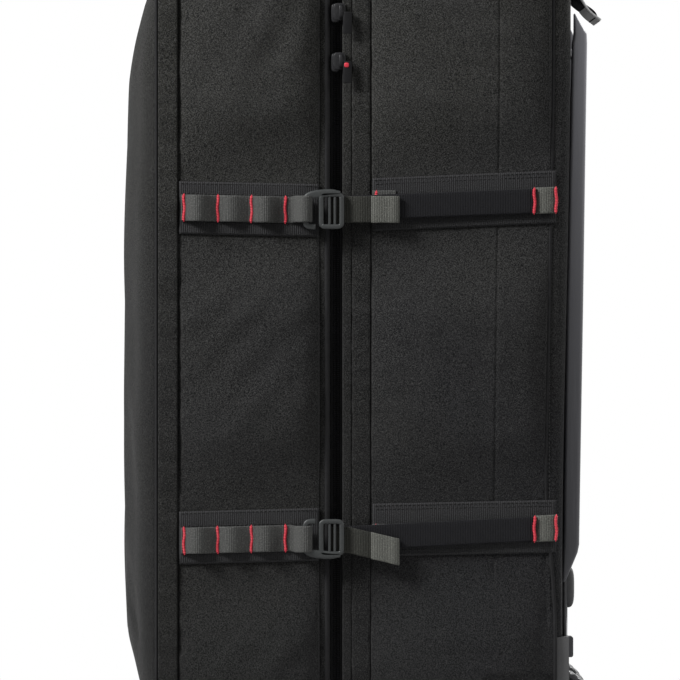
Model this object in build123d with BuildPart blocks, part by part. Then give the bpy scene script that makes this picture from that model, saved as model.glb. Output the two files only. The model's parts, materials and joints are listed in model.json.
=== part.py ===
from build123d import *
import os

# Wheeled snowboard bag, standing on its wheels and feet. Millimetres, +Z up.
# Origin: under the middle of the bag, on the floor. +Y is the back with the skid rails,
# -Y the front with the domed pocket, +X the side with the compression straps,
# -X the side where the front half is hinged to the back half.

os.makedirs("parts", exist_ok=True)

# ---- overall ---------------------------------------------------------------------------
BAG_WIDTH = 356.0        # side panel to side panel
BAG_HEIGHT = 1580.0      # fabric bottom to fabric top
FLOOR_GAP = 22.0         # fabric bottom above the floor
CORNER_R = 46.0          # corners of the panels seen from the front
BACK_FACE = 155.5        # back panel, from the origin
BASE_DEPTH = 171.5       # back half
SPLIT_GAP = 9.0          # zip gap between the halves
LID_DEPTH = 130.0        # front half
LID_TOP_DEPTH = 86.0     # front half at the nose, where it thins
TAPER_START = 700.0      # height where the front half begins to thin
WALL = 8.0               # padded fabric
EDGE_R = 13.0            # rounding of the back edge
FIT = 0.3                # air between pieces on different bodies

# ---- front pocket ----------------------------------------------------------------------
POCKET_MARGIN = 15.0     # between the pocket's side and the bag's side
POCKET_DEPTH = 25.5
POCKET_BOTTOM = 32.0
POCKET_TOP = 592.0
POCKET_WALL = 4.0
DOME_LOW = [(0.5, 10.8), (0.8, 40.8), (1.0, 228.0)]  # share of the depth, height over the bottom
DOME_HIGH = [(0.875, 141.6), (0.643, 43.2)]          # share of the depth, drop under the top

# ---- compression straps ----------------------------------------------------------------
LOW_STRAPS = [166.5, 414.0]
TOP_STRAPS = [642.0, 222.0]   # measured down from the top of the bag
BAND_HEIGHT = 40.0       # sewn reinforcing band
BAND_THICK = 2.0
WEBBING = 20.0           # webbing width
WEBBING_THICK = 2.0
DAISY_THICK = 3.6        # two layers with the loops between the bar tacks
DAISY_INSET = 2.0        # the looped webbing starts this far along its band
DAISY_RIM = 22.5         # and ends this far before the rim
STRAP_RISE = 6.5         # the strap's inner face above the side panel
HINGE_INSET = 27.5       # from the back face to the bar tack where the strap is sewn down
ANCHOR_LENGTH = 15.0
ANCHOR_THICK = 3.2
HOOK_SPARE = 3.0         # the slots are this much longer than the webbing is wide
HOOK_THICK = 4.0
HOOK_BAR = 4.0
HOOK_EYE = 8.0
HOOK_SLOT = 4.5
HOOK_MOUTH = 5.6
HOOK_MOUTH_PAST = 0.5
EYE_ROUND = 2.0
SLOT_ROUND = 1.0
HOOK_RIM = 0.5           # the hook ends this far past the back half's rim
TAIL_LENGTH = 41.0
TAIL_THICK = 1.6

# ---- zip -------------------------------------------------------------------------------
TAPE_THICK = 3.0
TAPE_RECESS = 4.0        # tape set in from the side panel
SLIDER_HEIGHTS = [524.0, 561.0]
SLIDER_SIZE = (2.2, 9.0, 15.0)
SLIDER_SHIFT = 1.0       # slider's middle, in front of the back half's rim
SLIDER_AIR = 1.0         # on each side of the slider's foot
PULL_SIZE = (1.6, 7.5, 24.0)
PULL_PIN_R = 1.3

# ---- skid rails and wheels -------------------------------------------------------------
RAIL_INSET = 32.0        # rail's middle, from the side panel
RAIL_WIDTH = 28.0
RAIL_BOTTOM = 134.0
RAIL_TOP = 561.0
RAIL_PROUD_TOP = 12.5
RAIL_PROUD_LOW = 6.5
RAIL_LIFT = 3.0          # the top end stands this far off the back panel
RAIL_FREE_END = 18.0
RAIL_TIP = 0.5
RIVET_R = 4.0
WHEEL_R = 35.2
WHEEL_WIDTH = 26.0
SIDE_PLATE = 10.0        # housing wall outside each wheel
WHEEL_INSET = 15.0       # axle, from the back face
WHEEL_SLOT = 32.0
WHEEL_ROOM = 4.0         # air around the tread in its housing
TYRE_THICK = 6.0
TREAD_ROUND = 3.6
BEARING_R = 11.0
BEARING_WIDTH = 7.0
AXLE_R = 4.0
AXLE_CLEARANCE = 0.05
POD_WALL = 9.3           # housing in front of the wheel's slot
POD_ROOF = 5.6           # housing over the wheel's slot
POD_RISE = 13.0          # how much higher it stands behind the side panel
POD_BACK_INSET = 1.5
POD_STEP_INSET = 12.0
POD_BOTTOM = 14.0
PLATE = 4.0              # kick plate

# ---- handles, feet and inside -----------------------------------------------------------
HANDLE_BOTTOM = 610.0
HANDLE_TOP = 800.0
HANDLE_Y = 70.0
HANDLE_WIDTH = 38.0
HANDLE_THICK = 4.0
GRAB_SPAN = 130.0
GRAB_RISE = 42.0
GRAB_Y = 70.0
GRAB_GRIP = 12.0
FOOT_INSET = 66.0        # foot's middle, from the side panel
FOOT_SIZE = (70.0, 26.0)
FOOT_ROUND = 6.5
LID_FOOT_INSET = 27.0
MID_FOOT_INSET = 24.0
BOARD_STRAP_LOW = 480.0
BOARD_STRAP_DROP = 482.0 # upper board strap, down from the top of the bag
BOARD_STRAP_Y = 62.0
BOARD_STRAP_HALF = 20.0
STIFFENER = 3.0
LOOP_Z = 588.0           # sewn end of the loop at the back

# ---- planes worked out from the sizes above ---------------------------------------------
HALF = BAG_WIDTH / 2
BASE_RIM = BACK_FACE - BASE_DEPTH
LID_RIM = BASE_RIM - SPLIT_GAP
LID_FACE = LID_RIM - LID_DEPTH
POCKET_FACE = LID_FACE - POCKET_DEPTH
SPLIT_Y = BASE_RIM - SPLIT_GAP / 2
BAG_TOP = FLOOR_GAP + BAG_HEIGHT
MID_Z = FLOOR_GAP + BAG_HEIGHT / 2
STRAP_X = HALF + STRAP_RISE
STRAP_HEIGHTS = LOW_STRAPS + [BAG_TOP - drop for drop in TOP_STRAPS]
HINGE_Y = BACK_FACE - HINGE_INSET
HOOK_BACK_Y = BASE_RIM + HOOK_RIM
HOOK_SIZE = WEBBING + HOOK_SPARE + 2 * HOOK_BAR
DAISY_END = LID_RIM - DAISY_RIM
SLIDER_Y = BASE_RIM - SLIDER_SHIFT
RAIL_X = HALF - RAIL_INSET
WHEEL_X = HALF - SIDE_PLATE - WHEEL_SLOT / 2
WHEEL_Y = BACK_FACE - WHEEL_INSET
POD_FRONT = WHEEL_Y - WHEEL_R - WHEEL_ROOM - POD_WALL
POD_BACK = BACK_FACE - POD_BACK_INSET
POD_STEP = BACK_FACE - POD_STEP_INSET
POD_LOW_TOP = 2 * WHEEL_R + WHEEL_ROOM + POD_ROOF
POD_TOP = POD_LOW_TOP + POD_RISE
FOOT_X = HALF - FOOT_INSET
LID_FOOT_Y = LID_FACE + LID_FOOT_INSET
MID_FOOT_Y = BASE_RIM + MID_FOOT_INSET
BOARD_STRAP_HEIGHTS = [BOARD_STRAP_LOW, BAG_TOP - BOARD_STRAP_DROP]


def save(builder, name):
    """Label a finished piece and write it."""
    builder.part.label = name
    export_step(builder.part, f"parts/{name}.step")


def side_box(x0, x1, y0, y1, z0, z1):
    """A plain block between six planes, added to the part being built."""
    with Locations(((x0 + x1) / 2, (y0 + y1) / 2, (z0 + z1) / 2)):
        Box(x1 - x0, y1 - y0, z1 - z0)


# ---- back half: a padded tray that opens to the front -----------------------------------
def housing_room(margin):
    """The notch at the lower back corner that the wheel housing fills."""
    with BuildPart() as room:
        with BuildSketch(Plane.YZ.offset(-HALF - margin)):
            with BuildLine():
                Polyline(
                    (POD_FRONT - margin, 0),
                    (BACK_FACE + WALL, 0),
                    (BACK_FACE + WALL, POD_TOP + margin),
                    (POD_STEP - margin, POD_TOP + margin),
                    (POD_STEP - margin, POD_LOW_TOP + margin),
                    (POD_FRONT - margin, POD_LOW_TOP + margin),
                    close=True,
                )
            make_face()
        extrude(amount=BAG_WIDTH + 2 * margin)
    return room.part


with BuildPart() as back_cavity:
    with BuildSketch(Plane.XZ.offset(WALL - BACK_FACE)):
        with Locations((0, MID_Z)):
            RectangleRounded(BAG_WIDTH - 2 * WALL, BAG_HEIGHT - 2 * WALL, CORNER_R - WALL)
    extrude(amount=BASE_DEPTH)
    add(housing_room(WALL), mode=Mode.SUBTRACT)

with BuildPart() as back_shell:
    with BuildSketch(Plane.XZ.offset(-BACK_FACE)):
        with Locations((0, MID_Z)):
            RectangleRounded(BAG_WIDTH, BAG_HEIGHT, CORNER_R)
    extrude(amount=BASE_DEPTH)
    fillet(back_shell.faces().sort_by(Axis.Y)[-1].edges(), radius=EDGE_R)
    add(housing_room(0), mode=Mode.SUBTRACT)
    add(back_cavity.part, mode=Mode.SUBTRACT)
save(back_shell, "back_shell")

with BuildPart() as back_stiffener:
    side_box(
        -HALF + 2 * WALL + FIT, HALF - 2 * WALL - FIT,
        BACK_FACE - WALL - STIFFENER, BACK_FACE - WALL,
        POD_TOP + 2 * WALL, BAG_TOP - CORNER_R,
    )
save(back_stiffener, "back_stiffener")

# ---- board straps inside the back half ---------------------------------------------------
INNER_HALF = HALF - WALL
BUCKLE_HALF = 28.0
BUCKLE_FRONT = 4.0
BUCKLE_BACK = 6.0
BUCKLE_OVER = 6.0        # the buckle is this much wider than its strap, on each side
with BuildPart() as board_straps:
    for height in BOARD_STRAP_HEIGHTS:
        for end in (-INNER_HALF, BUCKLE_HALF):
            side_box(
                end, end + INNER_HALF - BUCKLE_HALF,
                BOARD_STRAP_Y, BOARD_STRAP_Y + WEBBING_THICK,
                height - BOARD_STRAP_HALF, height + BOARD_STRAP_HALF,
            )
save(board_straps, "board_straps")

with BuildPart() as board_buckles:
    for height in BOARD_STRAP_HEIGHTS:
        side_box(
            -BUCKLE_HALF, BUCKLE_HALF,
            BOARD_STRAP_Y - BUCKLE_FRONT, BOARD_STRAP_Y + BUCKLE_BACK,
            height - BOARD_STRAP_HALF - BUCKLE_OVER, height + BOARD_STRAP_HALF + BUCKLE_OVER,
        )
save(board_buckles, "board_buckles")

# ---- front half: a padded tray that opens to the back ------------------------------------
def lid_side(margin, rim):
    """Side outline of the front half, thinner towards the nose."""
    with BuildPart() as side:
        with BuildSketch(Plane.YZ.offset(-HALF)):
            with BuildLine():
                Polyline(
                    (rim, FLOOR_GAP + margin),
                    (LID_FACE + margin, FLOOR_GAP + margin),
                    (LID_FACE + margin, TAPER_START),
                    (LID_RIM - LID_TOP_DEPTH + margin, BAG_TOP - margin),
                    (rim, BAG_TOP - margin),
                    close=True,
                )
            make_face()
        extrude(amount=BAG_WIDTH)
        if margin == 0:
            fillet(side.edges().filter_by(Axis.X).sort_by(Axis.Y)[:2], radius=EDGE_R)
    return side.part


with BuildPart() as lid_cavity:
    with BuildSketch(Plane.XZ.offset(-LID_RIM - WALL)):
        with Locations((0, MID_Z)):
            RectangleRounded(BAG_WIDTH - 2 * WALL, BAG_HEIGHT - 2 * WALL, CORNER_R - WALL)
    extrude(amount=LID_DEPTH + WALL)
    add(lid_side(WALL, LID_RIM + WALL), mode=Mode.INTERSECT)

with BuildPart() as front_shell:
    with BuildSketch(Plane.XZ.offset(-LID_RIM)):
        with Locations((0, MID_Z)):
            RectangleRounded(BAG_WIDTH, BAG_HEIGHT, CORNER_R)
    extrude(amount=LID_DEPTH)
    add(lid_side(0, LID_RIM), mode=Mode.INTERSECT)
    add(lid_cavity.part, mode=Mode.SUBTRACT)
save(front_shell, "front_shell")

# ---- zip tapes along the two rims, open on the hinge side --------------------------------
def zip_tape(y_back, depth):
    """A strip that follows the rim round the top, the strap side and the bottom."""
    with BuildPart() as tape:
        with BuildSketch(Plane.XZ.offset(-y_back)):
            with Locations((0, MID_Z)):
                RectangleRounded(
                    BAG_WIDTH - 2 * TAPE_RECESS, BAG_HEIGHT - 2 * TAPE_RECESS, CORNER_R - TAPE_RECESS
                )
                RectangleRounded(
                    BAG_WIDTH - 2 * TAPE_RECESS - 2 * TAPE_THICK,
                    BAG_HEIGHT - 2 * TAPE_RECESS - 2 * TAPE_THICK,
                    CORNER_R - TAPE_RECESS - TAPE_THICK,
                    mode=Mode.SUBTRACT,
                )
            with Locations((-HALF, MID_Z)):
                Rectangle(4 * CORNER_R, BAG_HEIGHT, mode=Mode.SUBTRACT)
        extrude(amount=depth)
    return tape


TAPE_WIDTH = (SPLIT_GAP - FIT) / 2
zip_tape_back = zip_tape(BASE_RIM, TAPE_WIDTH)
save(zip_tape_back, "zip_tape_back")
zip_tape_front = zip_tape(LID_RIM + TAPE_WIDTH, TAPE_WIDTH)
save(zip_tape_front, "zip_tape_front")

# ---- fabric hinge on the far side ---------------------------------------------------------
HINGE_FABRIC = 2.0
with BuildPart() as hinge_fabric_back:
    side_box(
        -HALF, -HALF + HINGE_FABRIC, SPLIT_Y - FIT, BASE_RIM, FLOOR_GAP + CORNER_R, BAG_TOP - CORNER_R
    )
save(hinge_fabric_back, "hinge_fabric_back")
with BuildPart() as hinge_fabric_front:
    side_box(
        -HALF, -HALF + HINGE_FABRIC, LID_RIM, SPLIT_Y - 2 * FIT, FLOOR_GAP + CORNER_R, BAG_TOP - CORNER_R
    )
save(hinge_fabric_front, "hinge_fabric_front")

# ---- sewn bands and looped webbing on the strap side --------------------------------------
def lid_depth(height):
    """Depth of the front half at a height."""
    rise = max(0.0, height - TAPER_START) / (BAG_TOP - TAPER_START)
    return LID_DEPTH - rise * (LID_DEPTH - LID_TOP_DEPTH)


BAND_INSET = 16.0        # bands stop short of the rounded front edge
BAND_RIM = 9.0           # and of the rim
BAND_BACK_START = 21.0   # behind the back half's rim
BAND_BACK_END = BACK_FACE - 10.5
HALF_BAND = BAND_HEIGHT / 2
HALF_WEB = WEBBING / 2

with BuildPart() as bands_front:
    for height in STRAP_HEIGHTS:
        start = LID_RIM - lid_depth(height) + BAND_INSET
        end = LID_RIM - BAND_RIM
        side_box(HALF, HALF + BAND_THICK, start, end, height - HALF_BAND, height + HALF_BAND)
save(bands_front, "bands_front")

with BuildPart() as bands_back:
    for height in STRAP_HEIGHTS:
        side_box(
            HALF, HALF + BAND_THICK,
            BASE_RIM + BAND_BACK_START, BAND_BACK_END,
            height - HALF_BAND, height + HALF_BAND,
        )
save(bands_back, "bands_back")

BAND_TOP_X = HALF + BAND_THICK
with BuildPart() as daisy_webbing:
    for height in STRAP_HEIGHTS:
        start = LID_RIM - lid_depth(height) + BAND_INSET + DAISY_INSET
        side_box(
            BAND_TOP_X, BAND_TOP_X + DAISY_THICK, start, DAISY_END, height - HALF_WEB, height + HALF_WEB
        )
save(daisy_webbing, "daisy_webbing")

with BuildPart() as strap_anchors:
    for height in STRAP_HEIGHTS:
        start = HINGE_Y + WEBBING_THICK / 2 + FIT
        side_box(
            BAND_TOP_X, BAND_TOP_X + ANCHOR_THICK, start, start + ANCHOR_LENGTH,
            height - HALF_WEB, height + HALF_WEB,
        )
save(strap_anchors, "strap_anchors")


# ---- compression straps: webbing, metal hook and loose tail --------------------------------
def strap(height):
    """The webbing between its bar tack and the hook, with a round end at the tack."""
    with BuildPart() as webbing:
        side_box(
            STRAP_X, STRAP_X + WEBBING_THICK, HOOK_BACK_Y, HINGE_Y, height - HALF_WEB, height + HALF_WEB
        )
        with BuildSketch(Plane.XY.offset(height - HALF_WEB)):
            with Locations((STRAP_X + WEBBING_THICK / 2, HINGE_Y)):
                Circle(WEBBING_THICK / 2)
        extrude(amount=WEBBING)
    return webbing


def hook(height):
    """A flat hook: an open eye at the front, a bar, and two slots for the webbing."""
    front = HOOK_BACK_Y - HOOK_SIZE
    middle = HOOK_BACK_Y - HOOK_SIZE / 2
    slot_height = HOOK_SIZE - 2 * HOOK_BAR
    eye_y = front + HOOK_BAR + HOOK_EYE / 2
    outer_slot_y = HOOK_BACK_Y - HOOK_BAR - HOOK_SLOT / 2
    inner_slot_y = eye_y + HOOK_EYE / 2 + HOOK_BAR + HOOK_SLOT / 2
    mouth_z = height - HOOK_SIZE / 2 + HOOK_BAR + HOOK_EYE / 2
    with BuildPart() as frame:
        with BuildSketch(Plane.YZ.offset(STRAP_X)):
            with Locations((middle, height)):
                RectangleRounded(HOOK_SIZE, HOOK_SIZE, HOOK_BAR)
            with Locations((eye_y, height)):
                RectangleRounded(HOOK_EYE, slot_height, EYE_ROUND, mode=Mode.SUBTRACT)
            with Locations((outer_slot_y, height), (inner_slot_y, height)):
                RectangleRounded(HOOK_SLOT, slot_height, SLOT_ROUND, mode=Mode.SUBTRACT)
            with Locations((front, mouth_z)):
                Rectangle(2 * (HOOK_BAR + HOOK_MOUTH_PAST), HOOK_MOUTH, mode=Mode.SUBTRACT)
        extrude(amount=HOOK_THICK)
    return frame


def tail(height):
    """The loose end of the webbing, lying on the strap."""
    with BuildPart() as loose:
        side_box(
            STRAP_X + WEBBING_THICK, STRAP_X + WEBBING_THICK + TAIL_THICK,
            HOOK_BACK_Y, HOOK_BACK_Y + TAIL_LENGTH,
            height - HALF_WEB, height + HALF_WEB,
        )
    return loose


for number, height in enumerate(STRAP_HEIGHTS, start=1):
    save(strap(height), f"strap_{number}")
    save(hook(height), f"hook_{number}")
    save(tail(height), f"strap_tail_{number}")

# ---- domed front pocket: a shallow tray hinged along its far edge --------------------------
POCKET_Y = LID_FACE - FIT
POCKET_HALF = HALF - POCKET_MARGIN


def pocket_solid(inset, back):
    """Dome of the pocket, smaller by a wall's thickness where it is hollowed."""
    low = POCKET_BOTTOM + inset
    high = POCKET_TOP - inset
    face = POCKET_FACE + inset
    rising = [(face + (1 - share) * POCKET_DEPTH, low + height) for share, height in DOME_LOW]
    falling = [(face + (1 - share) * POCKET_DEPTH, high - drop) for share, drop in DOME_HIGH]
    with BuildPart() as dome:
        with BuildSketch(Plane.YZ.offset(inset - POCKET_HALF)):
            with BuildLine():
                Line((back, high), (back, low))
                Spline((back, low), *rising, *falling, (back, high))
            make_face()
        extrude(amount=2 * (POCKET_HALF - inset))
    return dome.part


with BuildPart() as pocket_panel:
    add(pocket_solid(0, POCKET_Y))
    add(pocket_solid(POCKET_WALL, POCKET_Y), mode=Mode.SUBTRACT)
save(pocket_panel, "pocket_panel")

# ---- zip sliders and their pulls -----------------------------------------------------------
PULL_X = HALF + FIT + SLIDER_SIZE[0] + FIT + PULL_PIN_R


def slider(height):
    """Slider body over the tapes, with a foot in the gap and a bridge for the pull."""
    thick, wide, tall = SLIDER_SIZE
    with BuildPart() as body:
        side_box(
            HALF + FIT, HALF + FIT + thick,
            SLIDER_Y - wide / 2, SLIDER_Y + wide / 2,
            height - tall / 2, height + tall / 2,
        )
        side_box(
            HALF - TAPE_RECESS + FIT, HALF + FIT,
            LID_RIM + SLIDER_AIR, BASE_RIM - SLIDER_AIR,
            height - tall / 2, height + tall / 2,
        )
    return body


def pull(height):
    """Flat pull that hangs from a round end beside the slider's bridge."""
    thick, wide, tall = PULL_SIZE
    pull_y = BASE_RIM + wide / 2
    with BuildPart() as tab:
        with BuildSketch(Plane.XZ.offset(-pull_y - wide / 2)):
            with Locations((PULL_X, height)):
                Circle(PULL_PIN_R)
            with Locations((PULL_X, height - tall / 2)):
                Rectangle(thick, tall)
        extrude(amount=wide)
    return tab


for number, height in enumerate(SLIDER_HEIGHTS, start=1):
    save(slider(height), f"zip_slider_{number}")
    save(pull(height), f"zip_pull_{number}")

# ---- skid rails with their rivets ----------------------------------------------------------
RAIL_END = 15.0
RAIL_SLANT = 20.0
RIVET_COUNT = 4
RIVET_DEPTH = 4.0
RIVET_PITCH = (RAIL_TOP - RAIL_BOTTOM - 4 * RAIL_END) / (RIVET_COUNT - 1)


def rivet_places(centre_x):
    """Rivet centres along one rail, on the back panel."""
    low = RAIL_BOTTOM + 2 * RAIL_END
    return [(centre_x, BACK_FACE, low + step * RIVET_PITCH) for step in range(RIVET_COUNT)]


def rail(centre_x):
    """One rail: deeper at the top, slanted ends, rounded along both long edges."""
    with BuildPart() as bar:
        with BuildSketch(Plane.YZ.offset(centre_x - RAIL_WIDTH / 2)):
            with BuildLine():
                Polyline(
                    (BACK_FACE, RAIL_BOTTOM),
                    (BACK_FACE, RAIL_TOP - RAIL_FREE_END),
                    (BACK_FACE + RAIL_LIFT, RAIL_TOP - RAIL_FREE_END),
                    (BACK_FACE + RAIL_LIFT, RAIL_TOP),
                    (BACK_FACE + RAIL_LIFT + RAIL_TIP, RAIL_TOP),
                    (BACK_FACE + RAIL_PROUD_TOP, RAIL_TOP - RAIL_END),
                    (BACK_FACE + RAIL_PROUD_LOW, RAIL_BOTTOM + 2 * RAIL_SLANT),
                    (BACK_FACE + RAIL_PROUD_LOW / 4, RAIL_BOTTOM),
                    close=True,
                )
            make_face()
        extrude(amount=RAIL_WIDTH)
        fillet(bar.edges().filter_by(Axis.X).sort_by(Axis.Y)[-2:], radius=RAIL_PROUD_LOW / 2)
        with Locations(*rivet_places(centre_x)):
            Cylinder(RIVET_R, 4 * RAIL_PROUD_TOP, rotation=(90, 0, 0), mode=Mode.SUBTRACT)
    return bar


save(rail(-RAIL_X), "skid_rail_left")
save(rail(RAIL_X), "skid_rail_right")

with BuildPart() as rail_rivets:
    for side in (-RAIL_X, RAIL_X):
        with Locations(*rivet_places(side)):
            Cylinder(
                RIVET_R, RIVET_DEPTH, rotation=(90, 0, 0),
                align=(Align.CENTER, Align.CENTER, Align.MAX),
            )
save(rail_rivets, "rail_rivets")

# ---- lugs under the rails and bumpers over the wheels ---------------------------------------
LUG_SIZE = (20.0, 5.0, 20.0)
with BuildPart() as rail_end_lugs:
    for side in (-RAIL_X, RAIL_X):
        side_box(
            side - LUG_SIZE[0] / 2, side + LUG_SIZE[0] / 2,
            BACK_FACE, BACK_FACE + LUG_SIZE[1],
            RAIL_BOTTOM - LUG_SIZE[2], RAIL_BOTTOM,
        )
    outer = rail_end_lugs.edges().filter_by(Axis.X).group_by(Axis.Y)[-1]
    fillet(outer, radius=LUG_SIZE[1] / 2)
save(rail_end_lugs, "rail_end_lugs")

BUMPER_DEPTH = 3.5
BUMPER_GAP = 3.0         # above the wheel's slot
with BuildPart() as corner_bumpers:
    for side in (-RAIL_X, RAIL_X):
        side_box(
            side - RAIL_WIDTH / 2, side + RAIL_WIDTH / 2,
            POD_BACK, POD_BACK + BUMPER_DEPTH,
            2 * WHEEL_R + WHEEL_ROOM + BUMPER_GAP, POD_TOP,
        )
    outer = corner_bumpers.edges().filter_by(Axis.X).group_by(Axis.Y)[-1]
    fillet(outer, radius=BUMPER_DEPTH / 2)
save(corner_bumpers, "corner_bumpers")

# ---- wheel housing: two pods joined by a kick plate ------------------------------------------
POD_INNER = WHEEL_X - WHEEL_SLOT / 2 - SIDE_PLATE
with BuildPart() as wheel_housing:
    with BuildSketch(Plane.YZ.offset(-HALF)):
        with BuildLine():
            Polyline(
                (POD_FRONT, POD_BOTTOM),
                (POD_BACK, POD_BOTTOM),
                (POD_BACK, POD_TOP),
                (POD_STEP, POD_TOP),
                (POD_STEP, POD_LOW_TOP),
                (POD_FRONT, POD_LOW_TOP),
                close=True,
            )
        make_face()
    extrude(amount=BAG_WIDTH)
    with Locations((0, POD_FRONT, POD_BOTTOM + PLATE)):
        Box(
            2 * POD_INNER, POD_BACK - PLATE - POD_FRONT, POD_TOP,
            align=(Align.CENTER, Align.MIN, Align.MIN), mode=Mode.SUBTRACT,
        )
    with Locations((-WHEEL_X, WHEEL_Y, WHEEL_R), (WHEEL_X, WHEEL_Y, WHEEL_R)):
        Cylinder(WHEEL_R + WHEEL_ROOM, WHEEL_SLOT, rotation=(0, 90, 0), mode=Mode.SUBTRACT)
    with Locations((0, WHEEL_Y, WHEEL_R)):
        Cylinder(AXLE_R, BAG_WIDTH, rotation=(0, 90, 0), mode=Mode.SUBTRACT)
save(wheel_housing, "wheel_housing")


# ---- wheels: tyre on a hub, two bearings, fixed axle ------------------------------------------
def ring(outer_r, inner_r, width, centres):
    """Rings about the wheel axis at the given places across the bag."""
    with BuildPart() as shape:
        with Locations(*[(x, WHEEL_Y, WHEEL_R) for x in centres]):
            Cylinder(outer_r, width, rotation=(0, 90, 0))
            Cylinder(inner_r, width, rotation=(0, 90, 0), mode=Mode.SUBTRACT)
    return shape


HUB_R = WHEEL_R - TYRE_THICK
BEARING_OFFSET = (WHEEL_WIDTH - BEARING_WIDTH) / 2
AXLE_HEAD_R = 7.0
AXLE_HEAD = 2.0
for name, side in (("left", -1), ("right", 1)):
    centre = side * WHEEL_X
    tyre = ring(WHEEL_R, HUB_R, WHEEL_WIDTH, [centre])
    with BuildPart() as round_tyre:
        add(tyre.part)
        tread = round_tyre.edges().filter_by(GeomType.CIRCLE).sort_by(SortBy.RADIUS)[-2:]
        fillet(tread, radius=TREAD_ROUND)
    save(round_tyre, f"tyre_{name}")
    save(ring(HUB_R, BEARING_R, WHEEL_WIDTH, [centre]), f"wheel_hub_{name}")
    bearings = ring(
        BEARING_R, AXLE_R + AXLE_CLEARANCE, BEARING_WIDTH,
        [centre - BEARING_OFFSET, centre + BEARING_OFFSET],
    )
    save(bearings, f"wheel_bearings_{name}")
    inner_end = side * POD_INNER
    outer_end = side * HALF
    with BuildPart() as axle:
        with Locations(((inner_end + outer_end) / 2, WHEEL_Y, WHEEL_R)):
            Cylinder(AXLE_R, HALF - POD_INNER, rotation=(0, 90, 0))
        with Locations((outer_end + side * AXLE_HEAD / 2, WHEEL_Y, WHEEL_R)):
            Cylinder(AXLE_HEAD_R, AXLE_HEAD, rotation=(0, 90, 0))
    save(axle, f"axle_{name}")

# ---- side handle on the strap side --------------------------------------------------------------
HANDLE_HINGE_Y = HANDLE_Y - HANDLE_WIDTH / 2
HANDLE_LEG = 26.0
HANDLE_GRIP = 24.0
HANDLE_REACH = 52.0
HANDLE_X = HALF + FIT + HANDLE_THICK / 2
HANDLE_MID = (HANDLE_BOTTOM + HANDLE_TOP) / 2
with BuildPart() as side_handle:
    with BuildSketch(Plane.YZ.offset(HANDLE_X - HANDLE_THICK / 2)):
        with Locations((HANDLE_HINGE_Y + HANDLE_REACH / 2, HANDLE_MID)):
            Rectangle(HANDLE_REACH, HANDLE_TOP - HANDLE_BOTTOM)
        with Locations((HANDLE_HINGE_Y + (HANDLE_REACH - HANDLE_GRIP) / 2, HANDLE_MID)):
            Rectangle(
                HANDLE_REACH - HANDLE_GRIP, HANDLE_TOP - HANDLE_BOTTOM - 2 * HANDLE_LEG,
                mode=Mode.SUBTRACT,
            )
    extrude(amount=HANDLE_THICK)
    for leg_low in (HANDLE_BOTTOM, HANDLE_TOP - HANDLE_LEG):
        with BuildSketch(Plane.XY.offset(leg_low)):
            with Locations((HANDLE_X, HANDLE_HINGE_Y)):
                Circle(HANDLE_THICK / 2)
        extrude(amount=HANDLE_LEG)
save(side_handle, "side_handle")

with BuildPart() as side_handle_anchors:
    for leg_low in (HANDLE_BOTTOM, HANDLE_TOP - HANDLE_LEG):
        end = HANDLE_HINGE_Y - HANDLE_THICK / 2 - FIT
        side_box(HALF, HALF + HANDLE_THICK / 2, end - HANDLE_LEG, end, leg_low, leg_low + HANDLE_LEG)
save(side_handle_anchors, "side_handle_anchors")

# ---- carry handle sewn to the far side of the front half ------------------------------------------
FAR_Y = LID_RIM - LID_DEPTH / 2
FAR_OUT = STRAP_X + HOOK_THICK
with BuildPart() as far_handle:
    side_box(
        -FAR_OUT, HANDLE_THICK - FAR_OUT, FAR_Y - HANDLE_WIDTH / 2, FAR_Y + HANDLE_WIDTH / 2,
        HANDLE_BOTTOM, HANDLE_TOP,
    )
    for leg_low in (HANDLE_BOTTOM, HANDLE_TOP - HANDLE_LEG):
        side_box(
            -FAR_OUT, -HALF, FAR_Y - HANDLE_WIDTH / 2, FAR_Y + HANDLE_WIDTH / 2,
            leg_low, leg_low + HANDLE_LEG,
        )
save(far_handle, "far_handle")

# ---- grab handle on the nose ------------------------------------------------------------------------
GRAB_Z = BAG_TOP + FIT + HANDLE_THICK / 2
with BuildPart() as grab_handle:
    with BuildSketch(Plane.XZ.offset(-GRAB_Y - HANDLE_THICK / 2)):
        with Locations((0, GRAB_Z + GRAB_RISE / 2)):
            Rectangle(GRAB_SPAN, GRAB_RISE)
        with Locations((0, GRAB_Z + (GRAB_RISE - GRAB_GRIP) / 2)):
            Rectangle(
                GRAB_SPAN - 2 * HANDLE_LEG, GRAB_RISE - GRAB_GRIP, mode=Mode.SUBTRACT
            )
    extrude(amount=HANDLE_THICK)
    for leg_x in (-1, 1):
        with Locations((leg_x * (GRAB_SPAN - HANDLE_LEG) / 2, GRAB_Y, GRAB_Z)):
            Cylinder(HANDLE_THICK / 2, HANDLE_LEG, rotation=(0, 90, 0))
save(grab_handle, "grab_handle")

with BuildPart() as grab_anchors:
    for leg_x in (-1, 1):
        near = GRAB_SPAN / 2 + FIT
        side_box(
            min(leg_x * near, leg_x * (near + HANDLE_LEG)), max(leg_x * near, leg_x * (near + HANDLE_LEG)),
            GRAB_Y - HANDLE_LEG / 2, GRAB_Y + HANDLE_LEG / 2,
            BAG_TOP, BAG_TOP + HANDLE_THICK,
        )
save(grab_anchors, "grab_anchors")

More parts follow.
